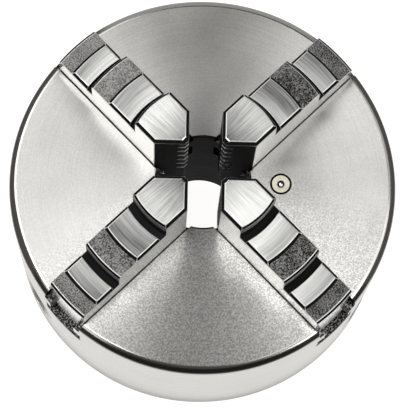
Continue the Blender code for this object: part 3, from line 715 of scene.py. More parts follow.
def slot_section(grow):
    """The slot's outline across (v, z), its corners rounded, made wider by grow on every side."""
    wide = SLOT_HALF_WIDTH + grow
    gap = RAIL_HALF_GAP + grow
    low, high = RAIL_LOW - grow, RAIL_HIGH + grow
    floor = SLOT_FLOOR - grow
    edge, soft = SLOT_EDGE_ROUND, RAIL_EDGE_ROUND
    wall = [(wide, floor, 0), (wide, low, 0), (gap, low, soft), (gap, high, soft), (wide, high, 0)]
    right = fillet([(0, floor, 0)] + wall + [(wide, BODY_HEIGHT - edge, 0)], closed=False, steps=3)[1:]
    top = arc((wide + edge, BODY_HEIGHT - edge), edge, 180, 90, 3)[1:]
    right += top + [(wide + 2 * edge, BODY_HEIGHT + 1 * MM)]
    left = [(-v, z) for v, z in reversed(right)]
    steps = 12
    bottom = [(wide * (2 * i / steps - 1), floor) for i in range(1, steps)]
    return right + left + bottom


def slot_cutter():
    """One pair of opposite jaw slots along X.

    Near the body's side the section opens, which chamfers the slots' ends.
    """
    plain, opened = slot_section(0), slot_section(SLOT_END_CHAMFER)
    edges = [math.sqrt(BODY_RADIUS**2 - min(abs(v), SLOT_HALF_WIDTH) ** 2) for v, _ in plain]

    def ring(section, beyond, side):
        return [(side * (edge + beyond), v, z) for edge, (v, z) in zip(edges, section)]

    ends = ((opened, 5 * MM), (opened, 0.04 * MM), (plain, -SLOT_END_CHAMFER))
    rings = [ring(*end, -1) for end in ends] + [ring(*end, 1) for end in reversed(ends)]
    return loft("slot_cutter", rings)


def drill(radius, low, high, place, segments, chamfer=0.0):
    """A cutter for an axial hole from low to high, with a chamfered mouth at the rear face if asked."""
    profile = [(radius, low), (radius, high)]
    if chamfer:
        profile = [(radius + chamfer + 1 * MM, low - 1 * MM), (radius, low + chamfer), (radius, high)]
    return put(turned("drill", profile, segments), place)


def pinion_hole_cutter(degrees):
    mouth = PINION_HOLE + 1.2 * MM
    corners = [
        (PINION_HOLE, CAVITY_RADIUS - 2 * MM, 0),
        (PINION_HOLE, BODY_RADIUS - 1.4 * MM, 0.4 * MM),
        (mouth, BODY_RADIUS - 0.2 * MM, 0),
        (mouth, BODY_RADIUS + 3 * MM, 0),
    ]
    tool = turned("pinion_hole", fillet(corners, closed=False), 96)
    put(tool, along_x())
    return put(tool, shift(0, 0, PINION_Z) @ turn_z(degrees))


def tapped_hole_cutter(degrees):
    """A blind hole with thread grooves and a drill point."""
    crest, root, pitch = MOUNT_HOLE_RADIUS, MOUNT_THREAD_RADIUS, MOUNT_THREAD_PITCH
    profile = [(root + 0.4 * MM + 1 * MM, -1 * MM), (root + 0.4 * MM, 0.0), (crest, root + 0.4 * MM - crest)]
    z = profile[-1][1] + 0.1 * MM
    while z + pitch < MOUNT_HOLE_DEPTH - 2 * MM:
        profile += [(crest, z), (root, z + 0.42 * pitch), (root, z + 0.58 * pitch)]
        profile.append((crest, z + pitch - 0.05 * MM))
        z += pitch
    profile += [(crest, MOUNT_HOLE_DEPTH - 1.6 * MM), (0.3 * MM, MOUNT_HOLE_DEPTH)]
    return put(turned("tapped_hole", profile, 48), on_circle(MOUNT_HOLE_CIRCLE, degrees))


def choose_body_surface(centre, normal):
    """0 turned face, 1 side, 2 bore and inside in painted shade, 3 slots, 4 the rim's round, 5 slot edges.
    """
    radius = math.hypot(centre.x, centre.y)
    outward = (centre.x * normal.x + centre.y * normal.y) / max(radius, 1e-9)
    if normal.z > 0.9 and centre.z > BODY_HEIGHT - 0.05 * MM:
        return 0
    if normal.z < -0.9 and centre.z < 0.05 * MM:
        return 0
    if outward > 0.05 and radius > BODY_RADIUS - RIM_ROUND - 0.1 * MM:
        return 4 if normal.z > 0.1 and centre.z > BODY_HEIGHT - RIM_ROUND else 1
    if radius < BORE_RADIUS + BORE_CHAMFER and outward < -0.9:
        return 2
    if radius < BORE_RADIUS + BORE_CHAMFER and outward < -0.2:
        return 4
    if radius < CAVITY_RADIUS + 0.5 * MM and centre.z < CAVITY_TOP + 0.1 * MM:
        return 2
    # The oiler's pocket takes the same painted shade.
    if math.hypot(centre.x - OILER_X, centre.y) < OILER_POCKET_RADIUS + 0.5 * MM:
        return 2
    if centre.z > BODY_HEIGHT - SLOT_EDGE_ROUND:
        return 5
    # The slots' walls above the rails take the same painted shade.
    if centre.z > RAIL_HIGH + 0.5 * MM:
        return 2
    if centre.z > SLOT_FLOOR - 0.2 * MM:
        return 3
    return 1


def build_body(materials):
    body = turned("body_casting", body_profile(), BODY_SEGMENTS, closed=True)
    for degrees in JAW_ANGLES[:2]:
        combine(body, put(slot_cutter(), turn_z(degrees)))
    combine(body, join([pinion_hole_cutter(degrees) for degrees in PINION_ANGLES]))
    holes = [tapped_hole_cutter(degrees) for degrees in MOUNT_HOLE_ANGLES]
    for degrees in PINION_ANGLES:
        place = on_circle(RETAINER_CIRCLE, degrees)
        holes.append(drill(RETAINER_HOLE, 0, PINION_Z - 5 * MM, place, 40, 0.3 * MM))
    start, end = SHOULDER_Z - 2 * MM, SHOULDER_Z + COVER_SCREW_LENGTH
    for degrees in COVER_SCREW_ANGLES:
        holes.append(drill(COVER_SCREW_HOLE, start, end, on_circle(COVER_SCREW_CIRCLE, degrees), 24))
    combine(body, join(holes))
    pocket_floor = BODY_HEIGHT - OILER_LENGTH - 0.3 * MM
    edge = 0.12 * MM
    pocket = [
        (OIL_DUCT_RADIUS, CAVITY_TOP - 1 * MM),
        (OIL_DUCT_RADIUS, pocket_floor),
        (OILER_POCKET_RADIUS, pocket_floor),
        (OILER_POCKET_RADIUS, BODY_HEIGHT - edge),
        (OILER_POCKET_RADIUS + edge + 1 * MM, BODY_HEIGHT + 1 * MM),
    ]
    combine(body, put(turned("pocket", pocket, 72), shift(OILER_X, 0, 0)))
    stand_for(body, "chuck_body", "body", materials, choose_body_surface)


# ---- jaws


# DARK, GRIP and EDGE are near black: painted shade on step walls, undercuts, gripping faces, notches and
# chamfers.
SIDE, TIP, LAND, TREAD, DARK, GRIP, EDGE, WORN, NOTCH = range(9)  # the order of the jaws' materials
V_STATIONS = 3


def jaw_stations():
    """The jaw's outline in (u, z): distance, height, side chamfer and the surface of the next strip.

    The distance is from the V face for the first V_STATIONS, and from the chuck's axis for the rest.
    """
    chamfer = JAW_EDGE_CHAMFER
    lip = STEP_EDGE_CHAMFER
    stations = [
        (0, JAW_BOTTOM, 0, GRIP),
        (0, JAW_TOP - chamfer, 0, EDGE),
        (chamfer * math.sqrt(2), JAW_TOP, chamfer, TIP),
        (TIP_OUTER_RADIUS - lip, JAW_TOP, chamfer, EDGE),
        (TIP_OUTER_RADIUS, JAW_TOP - lip, chamfer - lip, DARK),
    ]
    stations += tool_grooves(TIP_OUTER_RADIUS, JAW_TOP - lip)
    for wall_radius, tread, land_outer, tread_end in (
        (*MIDDLE_STEP, OUTER_STEP[0]),
        (*OUTER_STEP, JAW_OUTER_RADIUS),
    ):
        land = tread + LAND_HEIGHT
        undercut = land - UNDERCUT_DEPTH
        stations += [
            (wall_radius, land, 0, DARK),
            (wall_radius, undercut, 0, DARK),
            (wall_radius + UNDERCUT_WIDTH, undercut, 0, DARK),
            (wall_radius + UNDERCUT_WIDTH, land, LAND_HEIGHT, LAND),
            (land_outer, land, LAND_HEIGHT, EDGE),
            (land_outer + LAND_HEIGHT, tread, 0, TREAD),
            (tread_end - lip, tread, 0, EDGE),
        ]
        if tread_end == JAW_OUTER_RADIUS:
            stations.append((tread_end, tread - lip, 0, SIDE))
        else:
            stations.append((tread_end, tread - lip, 0, DARK))
            stations += tool_grooves(tread_end, tread - lip)
    stations.append((JAW_OUTER_RADIUS, JAW_BOTTOM, 0, SIDE))
    return stations


def tool_grooves(radius, top):
    """Fine V grooves that turning left in a step's wall; their lower flanks catch the light."""
    depth = TOOL_GROOVE_DEPTH
    stations = []
    for drop in TOOL_GROOVE_DROPS:
        z = top - drop
        stations += [
            (radius, z + depth, 0, DARK),
            (radius - depth, z, 0, WORN),
            (radius, z - 0.5 * depth, 0, DARK),
        ]
    return stations


def jaw_blank():
    """The jaw without its grooves, notches and teeth, as one grid of strips across its width."""
    stations = jaw_stations()
    count = len(stations)
    inner = len(JAW_COLUMNS)
    bm = bmesh.new()
    columns = []
    for place in range(-inner - 1, inner + 2):
        side, step = math.copysign(1, place), abs(place)
        column = []
        for i, (distance, z, chamfer, _) in enumerate(stations):
            width = JAW_HALF_WIDTH - max(chamfer, 0.35 * MM)
            if step < inner:
                width = JAW_COLUMNS[step]
            if step == inner + 1:
                width = JAW_HALF_WIDTH
                z -= chamfer
                if i < V_STATIONS and distance:
                    distance = 0.02 * MM  # the two chamfers meet in the corner
            if i < V_STATIONS:
                u = JAW_V_START + max(width, JAW_RIDGE_HALF_WIDTH) + distance
            else:
                u = math.sqrt(distance * distance - width * width)
            column.append(bm.verts.new((u, side * width, z)))
        columns.append(column)
    for left, right in zip(columns, columns[1:]):
        for i in range(count):
            j = (i + 1) % count
            face = bm.faces.new((left[i], left[j], right[j], right[i]))
            face.material_index = stations[i][3]
            outer = left in columns[:1] or right in columns[-1:]
            if outer and stations[i][3] in (TIP, LAND):
                face.material_index = EDGE
    bm.faces.new(columns[0])
    bm.faces.new(columns[-1])
    return new_object("jaw", bm)


def nose_cutter():
    """The small facet that slopes down to the ridge at the tip's top."""
    start, drop = JAW_NOSE
    ridge = JAW_V_START + JAW_RIDGE_HALF_WIDTH
    slope = drop / (start - ridge)
    past = 1 * MM
    half = JAW_HALF_WIDTH + 1 * MM
    outline = [
        (start + past, JAW_TOP + slope * past),
        (start + past, JAW_TOP + 2 * MM),
        (ridge - past, JAW_TOP + 2 * MM),
        (ridge - past, JAW_TOP - drop - slope * past),
    ]
    return loft("nose", [[(u, v, z) for u, z in outline] for v in (-half, half)])


def groove_cutters():
    start, end = JAW_V_START - 3 * MM, JAW_OUTER_RADIUS + 5 * MM
    neck, outside = RAIL_HALF_GAP - SLIDE_GAP, JAW_HALF_WIDTH + 4 * MM
    tools = []
    for side in (-1, 1):
        outline = [(start, side * neck), (end, side * neck), (end, side * outside), (start, side * outside)]
        tools.append(prism("groove", outline, RAIL_LOW - SLIDE_GAP, RAIL_HIGH + SLIDE_GAP))
    return join(tools)


def serration_cutters():
    """Notches across the ridge of the gripping faces."""
    reach = JAW_V_START + JAW_RIDGE_HALF_WIDTH + SERRATION_DEPTH
    outline = [(0, -5 * MM), (reach, -5 * MM), (reach, 5 * MM), (0, 5 * MM)]
    tops = [JAW_TOP - SERRATION_DROP - i * SERRATION_PITCH for i in range(SERRATIONS)]
    return join([prism("notch", outline, top - SERRATION_HEIGHT, top) for top in tops])


def jaw_teeth(phase):
    """Crescent teeth that stand in the scroll's spiral groove at this jaw's azimuth, in degrees."""
    first = THREAD_START_RADIUS + THREAD_WIDTH / 2 + SCROLL_PITCH / 2 + SCROLL_PITCH * phase / 360
    lowest = math.ceil((JAW_TEETH_FROM - first) / SCROLL_PITCH)
    highest = math.floor((JAW_TEETH_TO - first) / SCROLL_PITCH)
    half = JAW_TOOTH_WIDTH / 2
    flanks = ((THREAD_START_RADIUS, half, 1), (THREAD_END_RADIUS, -half, -1))
    steps = 8
    teeth = []
    for k in range(lowest, highest + 1):
        middle = first + k * SCROLL_PITCH
        outline = []
        for radius, offset, order in flanks:
            for i in range(-steps, steps + 1):
                v = order * i * JAW_TOOTH_HALF_LENGTH / steps
                drop = radius - math.sqrt(radius * radius - v * v)
                outline.append((middle + offset - drop, v))
        teeth.append(prism("tooth", outline, JAW_TEETH_LOW, JAW_BOTTOM + 1 * MM))
    return join(teeth)


def brush_map(jaw):
    """A UV map for the lay of the gloss: U runs across the tip and lands, and round the axis elsewhere."""
    layer = jaw.data.uv_layers.new(name="brush")
    places = jaw.data.attributes["place_mm"].data
    for polygon in jaw.data.polygons:
        flat = polygon.material_index in (TIP, LAND)
        for index in polygon.loop_indices:
            u, v, _ = places[jaw.data.loops[index].vertex_index].vector
            if flat:
                layer.data[index].uv = (v * 0.02, u * 0.02)
            else:
                layer.data[index].uv = (math.atan2(v, u), math.hypot(u, v) * 0.02)


def darken_notches(jaw):
    """Painted shade: the notches are as black as the gripping faces, but for their floors."""
    reach = JAW_V_START + JAW_RIDGE_HALF_WIDTH + SERRATION_DEPTH + 0.1 * MM
    for polygon in jaw.data.polygons:
        centre = polygon.center
        if polygon.material_index == SIDE and centre.x < reach and centre.z < JAW_TOP - 1 * MM:
            polygon.material_index = NOTCH if polygon.normal.z > 0.5 else GRIP


def is_worn_edge(middle):
    """The edges of the steps and tips wear bright; those near the ridge's notches and in the slot don't."""
    if middle.x < JAW_NOSE[0] + 2 * MM:
        return middle.z > JAW_TOP - 2 * MM
    return middle.z > BODY_HEIGHT + 6 * MM


def build_jaw(number, degrees, materials):
    jaw = jaw_blank()
    jaw.name = f"stepped_jaw_{number}"
    for material in materials:
        jaw.data.materials.append(material)
    combine(jaw, groove_cutters())
    combine(jaw, nose_cutter())
    combine(jaw, serration_cutters())
    darken_notches(jaw)
    combine(jaw, jaw_teeth(degrees), "UNION")
    round_edges(jaw, JAW_EDGE_ROUND, WORN, is_worn_edge)
    keep_coordinates(jaw, 100 * number, JAW_PAINTED_LIGHT[number - 1], JAW_BLAST[number - 1])
    brush_map(jaw)
    shade(jaw, 40)
    put(jaw, turn_z(degrees))
    settle(jaw, f"jaw_{number}", f"jaw_{number}")


# ---- back cover and screws


def build_cover(materials):
    corners = [
        (COVER_INNER_RADIUS, REGISTER_DEPTH, 0.3 * MM),
        (COVER_RADIUS - 0.5 * MM, REGISTER_DEPTH, 0.2 * MM),
        (COVER_RADIUS, REGISTER_DEPTH + 0.5 * MM, 0.2 * MM),
        (COVER_RADIUS, SHOULDER_Z - 0.1 * MM, 0.2 * MM),
        (COVER_BOSS_RADIUS, SHOULDER_Z - 0.1 * MM, 0.5 * MM),
        (COVER_BOSS_RADIUS, cover_high.z, 0.3 * MM),
        (COVER_INNER_RADIUS, cover_high.z, 0.3 * MM),
    ]
    cover = turned("cover_plate", fillet(corners), 240, closed=True)
    floor = REGISTER_DEPTH + COVER_RECESS_DEPTH
    edge = 0.2 * MM
    recess = [
        (COVER_RECESS_RADIUS + edge + 1 * MM, REGISTER_DEPTH - 1 * MM),
        (COVER_RECESS_RADIUS, REGISTER_DEPTH + edge),
        (COVER_RECESS_RADIUS, floor),
        (COVER_SCREW_HOLE, floor),
        (COVER_SCREW_HOLE, SHOULDER_Z + 2 * MM),
    ]
    places = [on_circle(COVER_SCREW_CIRCLE, degrees) for degrees in COVER_SCREW_ANGLES]
    combine(cover, join([put(turned("recess", recess, 48), place) for place in places]))
    stand_for(cover, "back_cover", "body", materials)


def hex_socket(low, high):
    """A cutter for a hexagon socket."""
    return prism("socket", [polar(HEX_KEY / math.sqrt(3), 60 * i) for i in range(6)], low, high)


def thread_grooves(radius, depth, pitch, low, high):
    """Points of a thread's profile between two heights."""
    points, root, z = [], radius - depth, low
    while z + pitch < high:
        points += [(root, z + 0.45 * pitch), (root, z + 0.55 * pitch), (radius, z + pitch)]
        z += pitch
    return points


def cap_screw(name):
    """Socket cap screw with its head towards the rear; local origin on the head's bearing face."""
    head = COVER_RECESS_DEPTH - 0.4 * MM
    radius = COVER_SCREW_HEAD_RADIUS
    start = 0.8 * MM
    shank = [(COVER_SCREW_RADIUS, -0.1 * MM), (COVER_SCREW_RADIUS, start)]
    shank += thread_grooves(COVER_SCREW_RADIUS, *COVER_SCREW_THREAD, start, COVER_SCREW_LENGTH)
    shank.append((COVER_SCREW_RADIUS - 0.5 * MM, COVER_SCREW_LENGTH + 0.5 * MM))
    top = fillet([(0, -head, 0), (radius, -head, 0.35 * MM), (radius, -0.1 * MM, 0)], closed=False)[1:]
    profile = [(radius * 0.6, -head)] + top + shank
    screw = turned(name, profile, 48)
    socket = hex_socket(-head - 1 * MM, -head + 1.5 * MM)
    mouth = turned("mouth", [(2.4 * MM, -head - 1 * MM), (1.3 * MM, -head + 0.12 * MM)], 48)
    combine(screw, socket)
    return combine(screw, mouth)


def build_cover_screws(material):
    for number, degrees in enumerate(COVER_SCREW_ANGLES, start=1):
        screw = cap_screw(f"cap_screw_{number}")
        place = on_circle(COVER_SCREW_CIRCLE, degrees, REGISTER_DEPTH + COVER_RECESS_DEPTH)
        put(screw, place @ turn_z(degrees))
        stand_for(screw, f"cover_screw_{number}", "body", [material])


def build_retaining_screws(material):
    """Dog-point screws whose points stand in the pinions' grooves."""
    low, high = retainer_low.z, retainer_high.z
    radius = (retainer_high.x - retainer_low.x) / 2
    start = low + 0.4 * MM
    shoulder = PINION_Z - PINION_JOURNAL - 1 * MM
    profile = [(radius - 0.4 * MM, low), (radius, start)]
    profile += thread_grooves(radius, *RETAINER_THREAD, start, shoulder)
    point = RETAINER_POINT_RADIUS
    profile += [(point, shoulder + 0.5 * MM), (point, high - 0.3 * MM), (point - 0.3 * MM, high)]
    for number, degrees in enumerate(PINION_ANGLES, start=1):
        screw = turned(f"dog_screw_{number}", profile, 48)
        combine(screw, hex_socket(low - 1 * MM, low + 2.5 * MM))
        put(screw, on_circle(RETAINER_CIRCLE, degrees) @ turn_z(degrees))
        stand_for(screw, f"pinion_retaining_screw_{number}", "body", [material])


# ---- scroll plate and pinions


def make_thread():
    """The spiral thread on the scroll's front, with rounded crests."""
    turns = (THREAD_END_RADIUS - THREAD_START_RADIUS - THREAD_WIDTH) / SCROLL_PITCH
    half = THREAD_WIDTH / 2
    low = SCROLL_FACE - 1 * MM
    soft = 0.25 * MM
    corners = [(-half, low, 0), (half, low, 0), (half, THREAD_TOP, soft), (-half, THREAD_TOP, soft)]
    section = fillet(corners, steps=3)
    start = THREAD_START_RADIUS + half
    return coil("thread", section, start, turns, THREAD_STEPS_PER_TURN, advance=SCROLL_PITCH)


def crown_z(radius, height):
    """Height on the crown gear at this radius; height is measured from its pitch line, at GEAR_OUTER."""
    return PINION_Z + radius * PITCH_SLOPE + height * radius / GEAR_OUTER


def make_crown():
    """The bevel teeth on the scroll's rear, each wider at its root and sunk into the plate."""
    sunk = 0.6 * MM
    root_half = CROWN_ROOT_HALF + sunk * (CROWN_ROOT_HALF - TOOTH_TIP_HALF) / (ADDENDUM + DEDENDUM)
    corners = [
        (-root_half, DEDENDUM + sunk, 0),
        (root_half, DEDENDUM + sunk, 0),
        (TOOTH_TIP_HALF, -ADDENDUM, 0.3 * MM),
        (-TOOTH_TIP_HALF, -ADDENDUM, 0.3 * MM),
    ]
    section = fillet(corners, steps=2)
    teeth = []
    for index in range(CROWN_TEETH):
        middle = PINION_ANGLES[0] + 360 * (index + 0.5) / CROWN_TEETH
        rings = []
        for radius in (GEAR_INNER, GEAR_OUTER):
            rings.append([(radius, x * radius / GEAR_OUTER, crown_z(radius, z)) for x, z in section])
        teeth.append(put(loft("tooth", rings), turn_z(middle)))
    return join(teeth)


def build_scroll(material):
    corners = [
        (SCROLL_INNER_RADIUS, scroll_low.z, 0.2 * MM),
        (GEAR_INNER - 0.5 * MM, crown_z(GEAR_INNER - 0.5 * MM, DEDENDUM), 0.2 * MM),
        (SCROLL_OUTER_RADIUS, crown_z(SCROLL_OUTER_RADIUS, DEDENDUM), 0.3 * MM),
        (SCROLL_OUTER_RADIUS, SCROLL_FACE - 0.5 * MM, 0.2 * MM),
        (SCROLL_OUTER_RADIUS - 0.5 * MM, SCROLL_FACE, 0.2 * MM),
        (SCROLL_INNER_RADIUS, SCROLL_FACE, 0.3 * MM),
    ]
    scroll = turned("spiral_scroll", fillet(corners, steps=3), 180, closed=True)
    combine(scroll, make_crown(), "UNION")
    combine(scroll, make_thread(), "UNION")
    stand_for(scroll, "scroll_plate", "scroll", [material])


def pinion_section(radius_tip, radius_root, scale):
    """Toothed outline with rounded tips; the first tooth points along local +X."""
    tip = math.degrees(TOOTH_TIP_HALF * scale / radius_tip)
    root = math.degrees(PINION_ROOT_HALF * scale / radius_root)
    middle = (radius_root + radius_tip) / 2
    flank = (root + tip) / 2
    steps = (-1, -0.6, 0, 0.6, 1)
    crest = [(radius_tip - TOOTH_CREST_DROP * scale * step * step, step * tip) for step in steps]
    tooth = [(radius_root, -root), (middle, -flank), *crest, (middle, flank), (radius_root, root)]
    turns = [360 * i / PINION_TEETH for i in range(PINION_TEETH)]
    return [polar(radius, turn + degrees) for turn in turns for radius, degrees in tooth]


def gear_ring(distance):
    """The pinion's toothed outline at this distance from the chuck's axis."""
    scale = distance / GEAR_OUTER
    pitch = GEAR_OUTER * PITCH_SLOPE
    return pinion_section((pitch + ADDENDUM) * scale, (pitch - DEDENDUM) * scale, scale)


def pinion_blank(name):
    """Local +Z is the pinion's axis, measured from the chuck's axis outwards."""
    teeth = loft(name, [[(x, y, z) for x, y in gear_ring(z)] for z in (GEAR_INNER, GEAR_OUTER)])
    groove_start, groove_end, groove_radius = PINION_GROOVE
    neck = (GEAR_OUTER * PITCH_SLOPE - DEDENDUM) * 0.98
    soft = 0.4 * MM
    corners = [
        (neck, GEAR_OUTER - 1 * MM, 0),
        (neck, PINION_JOURNAL_START, 0.3 * MM),
        (PINION_JOURNAL, PINION_JOURNAL_START, soft),
        (PINION_JOURNAL, groove_start, 0.2 * MM),
        (groove_radius, groove_start, 0.8 * MM),
        (groove_radius, groove_end, 0.8 * MM),
        (PINION_JOURNAL, groove_end, 0.2 * MM),
        (PINION_JOURNAL, PINION_FACE - 0.5 * MM, 0.2 * MM),
        (PINION_JOURNAL - 0.5 * MM, PINION_FACE, 0.2 * MM),
        (KEY_SQUARE * 0.3, PINION_FACE, 0),
    ]
    shaft = turned("shaft", fillet(corners, closed=False), 96)
    return combine(teeth, shaft, "UNION")


def key_socket():
    """The square for the chuck key, with round corners and a chamfered mouth."""
    half, corner = KEY_SQUARE / 2, 0.4 * MM
    rings = []
    levels = ((0, -KEY_DEPTH), (0, -0.6 * MM), (1.6 * MM, 1 * MM))
    for grow, depth in levels:
        h, z = half + grow, PINION_FACE + depth
        outline = fillet([(-h, -h, corner), (h, -h, corner), (h, h, corner), (-h, h, corner)])
        rings.append([(x, y, z) for x, y in outline])
    return loft("key_socket", rings)


def build_pinions(material):
    for number, degrees in enumerate(PINION_ANGLES, start=1):
        pinion = pinion_blank(f"bevel_pinion_{number}")
        combine(pinion, key_socket())
        put(pinion, shift(0, 0, PINION_Z) @ turn_z(degrees) @ along_x())
        stand_for(pinion, f"pinion_{number}", f"pinion_{number}", [material])


# ---- oiler


def build_nipple(brass, oily):
    top, low = BODY_HEIGHT, BODY_HEIGHT - OILER_LENGTH
    edge = OILER_RADIUS - 0.25 * MM
    corners = [
        (OILER_MOUTH_RADIUS, top - 0.5 * MM, 0.1 * MM),
        (OILER_MOUTH_RADIUS + 0.1 * MM, top, 0.08 * MM),
        (OILER_MOUTH_RADIUS + 0.4 * MM, top, 0),
        (edge, top, 0),
        (OILER_RADIUS, top, 0.2 * MM),
        (OILER_RADIUS, low, 0.2 * MM),
        (OILER_FOOT_RADIUS, low, 0.1 * MM),
        (OILER_FOOT_RADIUS, low + 0.7 * MM, 0.1 * MM),
        (OILER_BORE_RADIUS, low + 0.7 * MM, 0),
        (OILER_BORE_RADIUS, top - 0.9 * MM, 0),
    ]
    nipple = turned("oil_nipple", fillet(corners), 96, closed=True)
    put(nipple, shift(OILER_X, 0, 0))

    def in_painted_shade(centre, normal):
        """Painted shade: black on the mouth and on the edge round the nipple, by the gap to its pocket."""
        radius = math.hypot(centre.x - OILER_X, centre.y)
        return int(not OILER_MOUTH_RADIUS + 0.12 * MM < radius < edge)

    stand_for(nipple, "oiler_nipple", "body", [brass, oily], in_painted_shade)


def build_ball(bright):
    bm = bmesh.new()
    bmesh.ops.create_icosphere(bm, subdivisions=4, radius=(ball_high.z - ball_low.z) / 2)
    ball = new_object("oil_ball", bm)
    put(ball, shift(OILER_X, 0, (ball_low.z + ball_high.z) / 2))
    stand_for(ball, "oiler_ball", "oiler_ball", [bright])


def build_spring(bright):
    """A coil that stands on the nipple's foot."""
    radius = (spring_high.x - spring_low.x) / 2 - SPRING_WIRE
    foot, head = spring_low.z + SPRING_WIRE, spring_high.z - SPRING_WIRE
    wire = [polar(SPRING_WIRE, 30 * j) for j in range(12)]
    section = [(out, foot + up) for out, up in wire]
    rise = (head - foot) / SPRING_TURNS
    spring = coil("oil_spring", section, radius, SPRING_TURNS, SPRING_STEPS_PER_TURN, rise=rise)
    put(spring, shift(OILER_X, 0, 0))
    stand_for(spring, "oiler_spring", "body", [bright])
    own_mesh(spring)


# ---- stage


FLOOR_RADIUS = 8.0
FLOOR_DROP = 0.2 * MM


def glowing(name, colour, roughness, light, strength):
    """A matt material that gives off light of its own."""
    material = bpy.data.materials.new(name)
    material.use_nodes = True
    shader = material.node_tree.nodes["Principled BSDF"]
    shader.inputs["Base Color"].default_value = (*colour, 1)
    shader.inputs["Roughness"].default_value = roughness
    shader.inputs["Emission Color"].default_value = (*light, 1)
    shader.inputs["Emission Strength"].default_value = strength
    return material


def build_floor():
    """A pale light table, so that the chuck stands in an even white."""
    bm = bmesh.new()
    bmesh.ops.create_circle(bm, cap_ends=True, segments=96, radius=FLOOR_RADIUS)
    floor = put(new_object("floor", bm), shift(0, 0, -FLOOR_DROP))
    material = glowing("pale_floor", (0.30, 0.30, 0.30), 0.9, (1.0, 0.995, 0.985), 0.95)
    material.node_tree.nodes["Principled BSDF"].inputs["Specular IOR Level"].default_value = 0.0
    floor.data.materials.append(material)


def card(name, rows, start, end, glow):
    """A card bent round the set from azimuth start to end, which shows only in the steel's reflections.

    Rows are its (radius, height) edges from the bottom up; glow is its radiance.
    """
    bm = bmesh.new()
    steps = round((end - start) / CARD_STEP)
    turns = [start + (end - start) * i / steps for i in range(steps + 1)]
    edges = [[bm.verts.new((*polar(radius, turn), z)) for turn in turns] for radius, z in rows]
    for lower, upper in zip(edges, edges[1:]):
        for i in range(steps):
            bm.faces.new((lower[i], lower[i + 1], upper[i + 1], upper[i]))
    sheet = new_object(name, bm)
    sheet.data.materials.append(glowing(name, (0.01, 0.01, 0.01), 1.0, (1, 1, 1), glow))
    sheet.visible_camera = False
    sheet.visible_diffuse = False
    sheet.visible_shadow = False


CARD_STEP = 4  # degrees
LOW_RING = ((0.12, 0.004), (0.34, 0.005), (0.34, 0.30))
CARDS = (  # name, (radius, height) rows, azimuths from and to, radiance
    ("front_sill", ((0.14, 0.004), (0.20, 0.004)), 200, 340, 0.26),
    ("front_ring", ((0.20, 0.005), (0.34, 0.005), (0.34, 0.30)), 200, 340, 0.02),
    ("right_ring", LOW_RING, -20, 60, 0.10),
    ("back_ring", LOW_RING, 60, 116, 0.50),
    ("left_ring", LOW_RING, 116, 200, 0.10),
    ("front_card", ((0.27, 0.02), (0.27, 0.29)), 232, 308, 0.0),
    ("front_hood", ((0.27, 0.29), (0.19, 0.56)), 232, 284, 0.06),
    ("rim_light", ((0.1825, 0.354), (0.1825, 0.5025)), 290, 316, 0.9),
    # painted shade: a ring dimmer than the floor, seen only in the side's reflection, as a contact shadow
    ("contact_shade_ring", ((0.0627, 0.0001), (0.0648, 0.0001)), 0, 360, 0.6),
)


def build_cards():
    """What the steel mirrors near the set.

    A low ring, black in front and grey behind, darkens the side and the rim. The tall card and the
    hood darken the front of the rim's round, and the light beside them gives it a thin bright line.
    The foot ring, dimmer than the floor, paints a contact shadow into the side's lowest edge.
    """
    for row in CARDS:
        card(*row)


def build_world():
    """An even dim studio, white behind the set."""
    world = bpy.data.worlds.new("studio")
    world.use_nodes = True
    nodes, links = world.node_tree.nodes, world.node_tree.links
    room = nodes["Background"]
    room.inputs["Color"].default_value = (0.98, 0.99, 1.0, 1)
    room.inputs["Strength"].default_value = 0.08
    white = nodes.new("ShaderNodeBackground")
    white.inputs["Strength"].default_value = 1.0
    ray = nodes.new("ShaderNodeLightPath")
    mix = nodes.new("ShaderNodeMixShader")
    links.new(ray.outputs["Is Camera Ray"], mix.inputs[0])
    links.new(room.outputs[0], mix.inputs[1])
    links.new(white.outputs[0], mix.inputs[2])
    links.new(mix.outputs[0], nodes["World Output"].inputs["Surface"])
    bpy.context.scene.world = world


SOFTBOXES = (  # name, azimuth and elevation in degrees, radiance
    ("right_back", 35, 48, 0.7),
    ("right_side", 0, 48, 1.7),
    ("right_front", 330, 48, 3.4),
    ("right_top", 0, 70, 2.0),
    ("left_back", 120, 48, 1.7),
    ("left_side", 150, 48, 2.9),
    ("left_top", 180, 70, 6.0),
    ("left_front", 215, 48, 1.3),
)
SOFTBOX_DISTANCE = 1.35
SOFTBOX_SIZE = 0.55


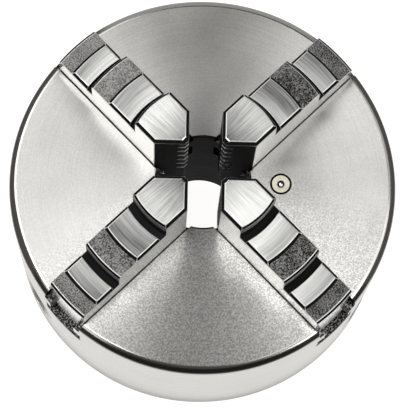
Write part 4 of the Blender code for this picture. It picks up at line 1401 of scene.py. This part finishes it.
def build_lights():
    """Square softboxes on both sides. The gaps in front and behind leave those sectors of the face dim."""
    for name, azimuth, elevation, radiance in SOFTBOXES:
        light = bpy.data.lights.new(name, "AREA")
        light.shape = "SQUARE"
        light.size = SOFTBOX_SIZE
        light.energy = radiance * math.pi * SOFTBOX_SIZE**2
        obj = bpy.data.objects.new(name, light)
        bpy.context.scene.collection.objects.link(obj)
        tilt = Matrix.Rotation(math.radians(90 - elevation), 4, "Y")
        aim = shift(0, 0, BODY_HEIGHT) @ turn_z(azimuth) @ tilt
        obj.matrix_world = aim @ shift(0, 0, SOFTBOX_DISTANCE)


CAMERA_DISTANCE = 640.77 * MM
CAMERA_ELEVATION = 74.84
CAMERA_AZIMUTH = -4.655
CAMERA_ROLL = 6.051
CAMERA_LENS = 172.26
CAMERA_SHIFT = (-0.0072, -0.0628)


def build_camera():
    """Looks down on the front face from the -Y side, rolled a little."""
    data = bpy.data.cameras.new("camera")
    data.lens = CAMERA_LENS
    data.shift_x, data.shift_y = CAMERA_SHIFT
    data.clip_start, data.clip_end = 0.01, 50
    camera = bpy.data.objects.new("camera", data)
    bpy.context.scene.collection.objects.link(camera)
    tilt = Matrix.Rotation(math.radians(90 - CAMERA_ELEVATION), 4, "X")
    aim = shift(0, 0, BODY_HEIGHT) @ turn_z(CAMERA_AZIMUTH) @ tilt @ turn_z(CAMERA_ROLL)
    camera.matrix_world = aim @ shift(0, 0, CAMERA_DISTANCE)
    bpy.context.scene.camera = camera


# ---- assembly


def main():
    marks = {name: marked(name, *row) for name, row in MARKED.items()}
    face = turned_steel()
    black = black_oxide()
    body_materials = [
        face, marks["ground_side"], marks["bore_painted_shade"], milled_slot(), marks["rim_steel"],
        marks["worn_edge"],
    ]
    build_body(body_materials)
    jaw_materials = [
        marks["ground_steel"], brushed_tip(), bright_land(), blasted_tread(), marks["wall_painted_shade"],
        marks["grip_painted_shade"], marks["black_edge"], marks["worn_edge"], notched_steel(),
    ]
    for number, degrees in enumerate(JAW_ANGLES, start=1):
        build_jaw(number, degrees, jaw_materials)
    build_cover([face])
    build_cover_screws(black)
    build_retaining_screws(black)
    build_scroll(marks["gear_steel"])
    build_pinions(marks["gear_steel"])
    build_nipple(marks["oiler_brass"], marks["oily_mouth"])
    build_ball(marks["polished_ball"])
    build_spring(marks["polished_ball"])
    build_floor()
    build_cards()
    build_lights()
    build_world()
    build_camera()
    bpy.context.scene.view_settings.view_transform = "Standard"


main()
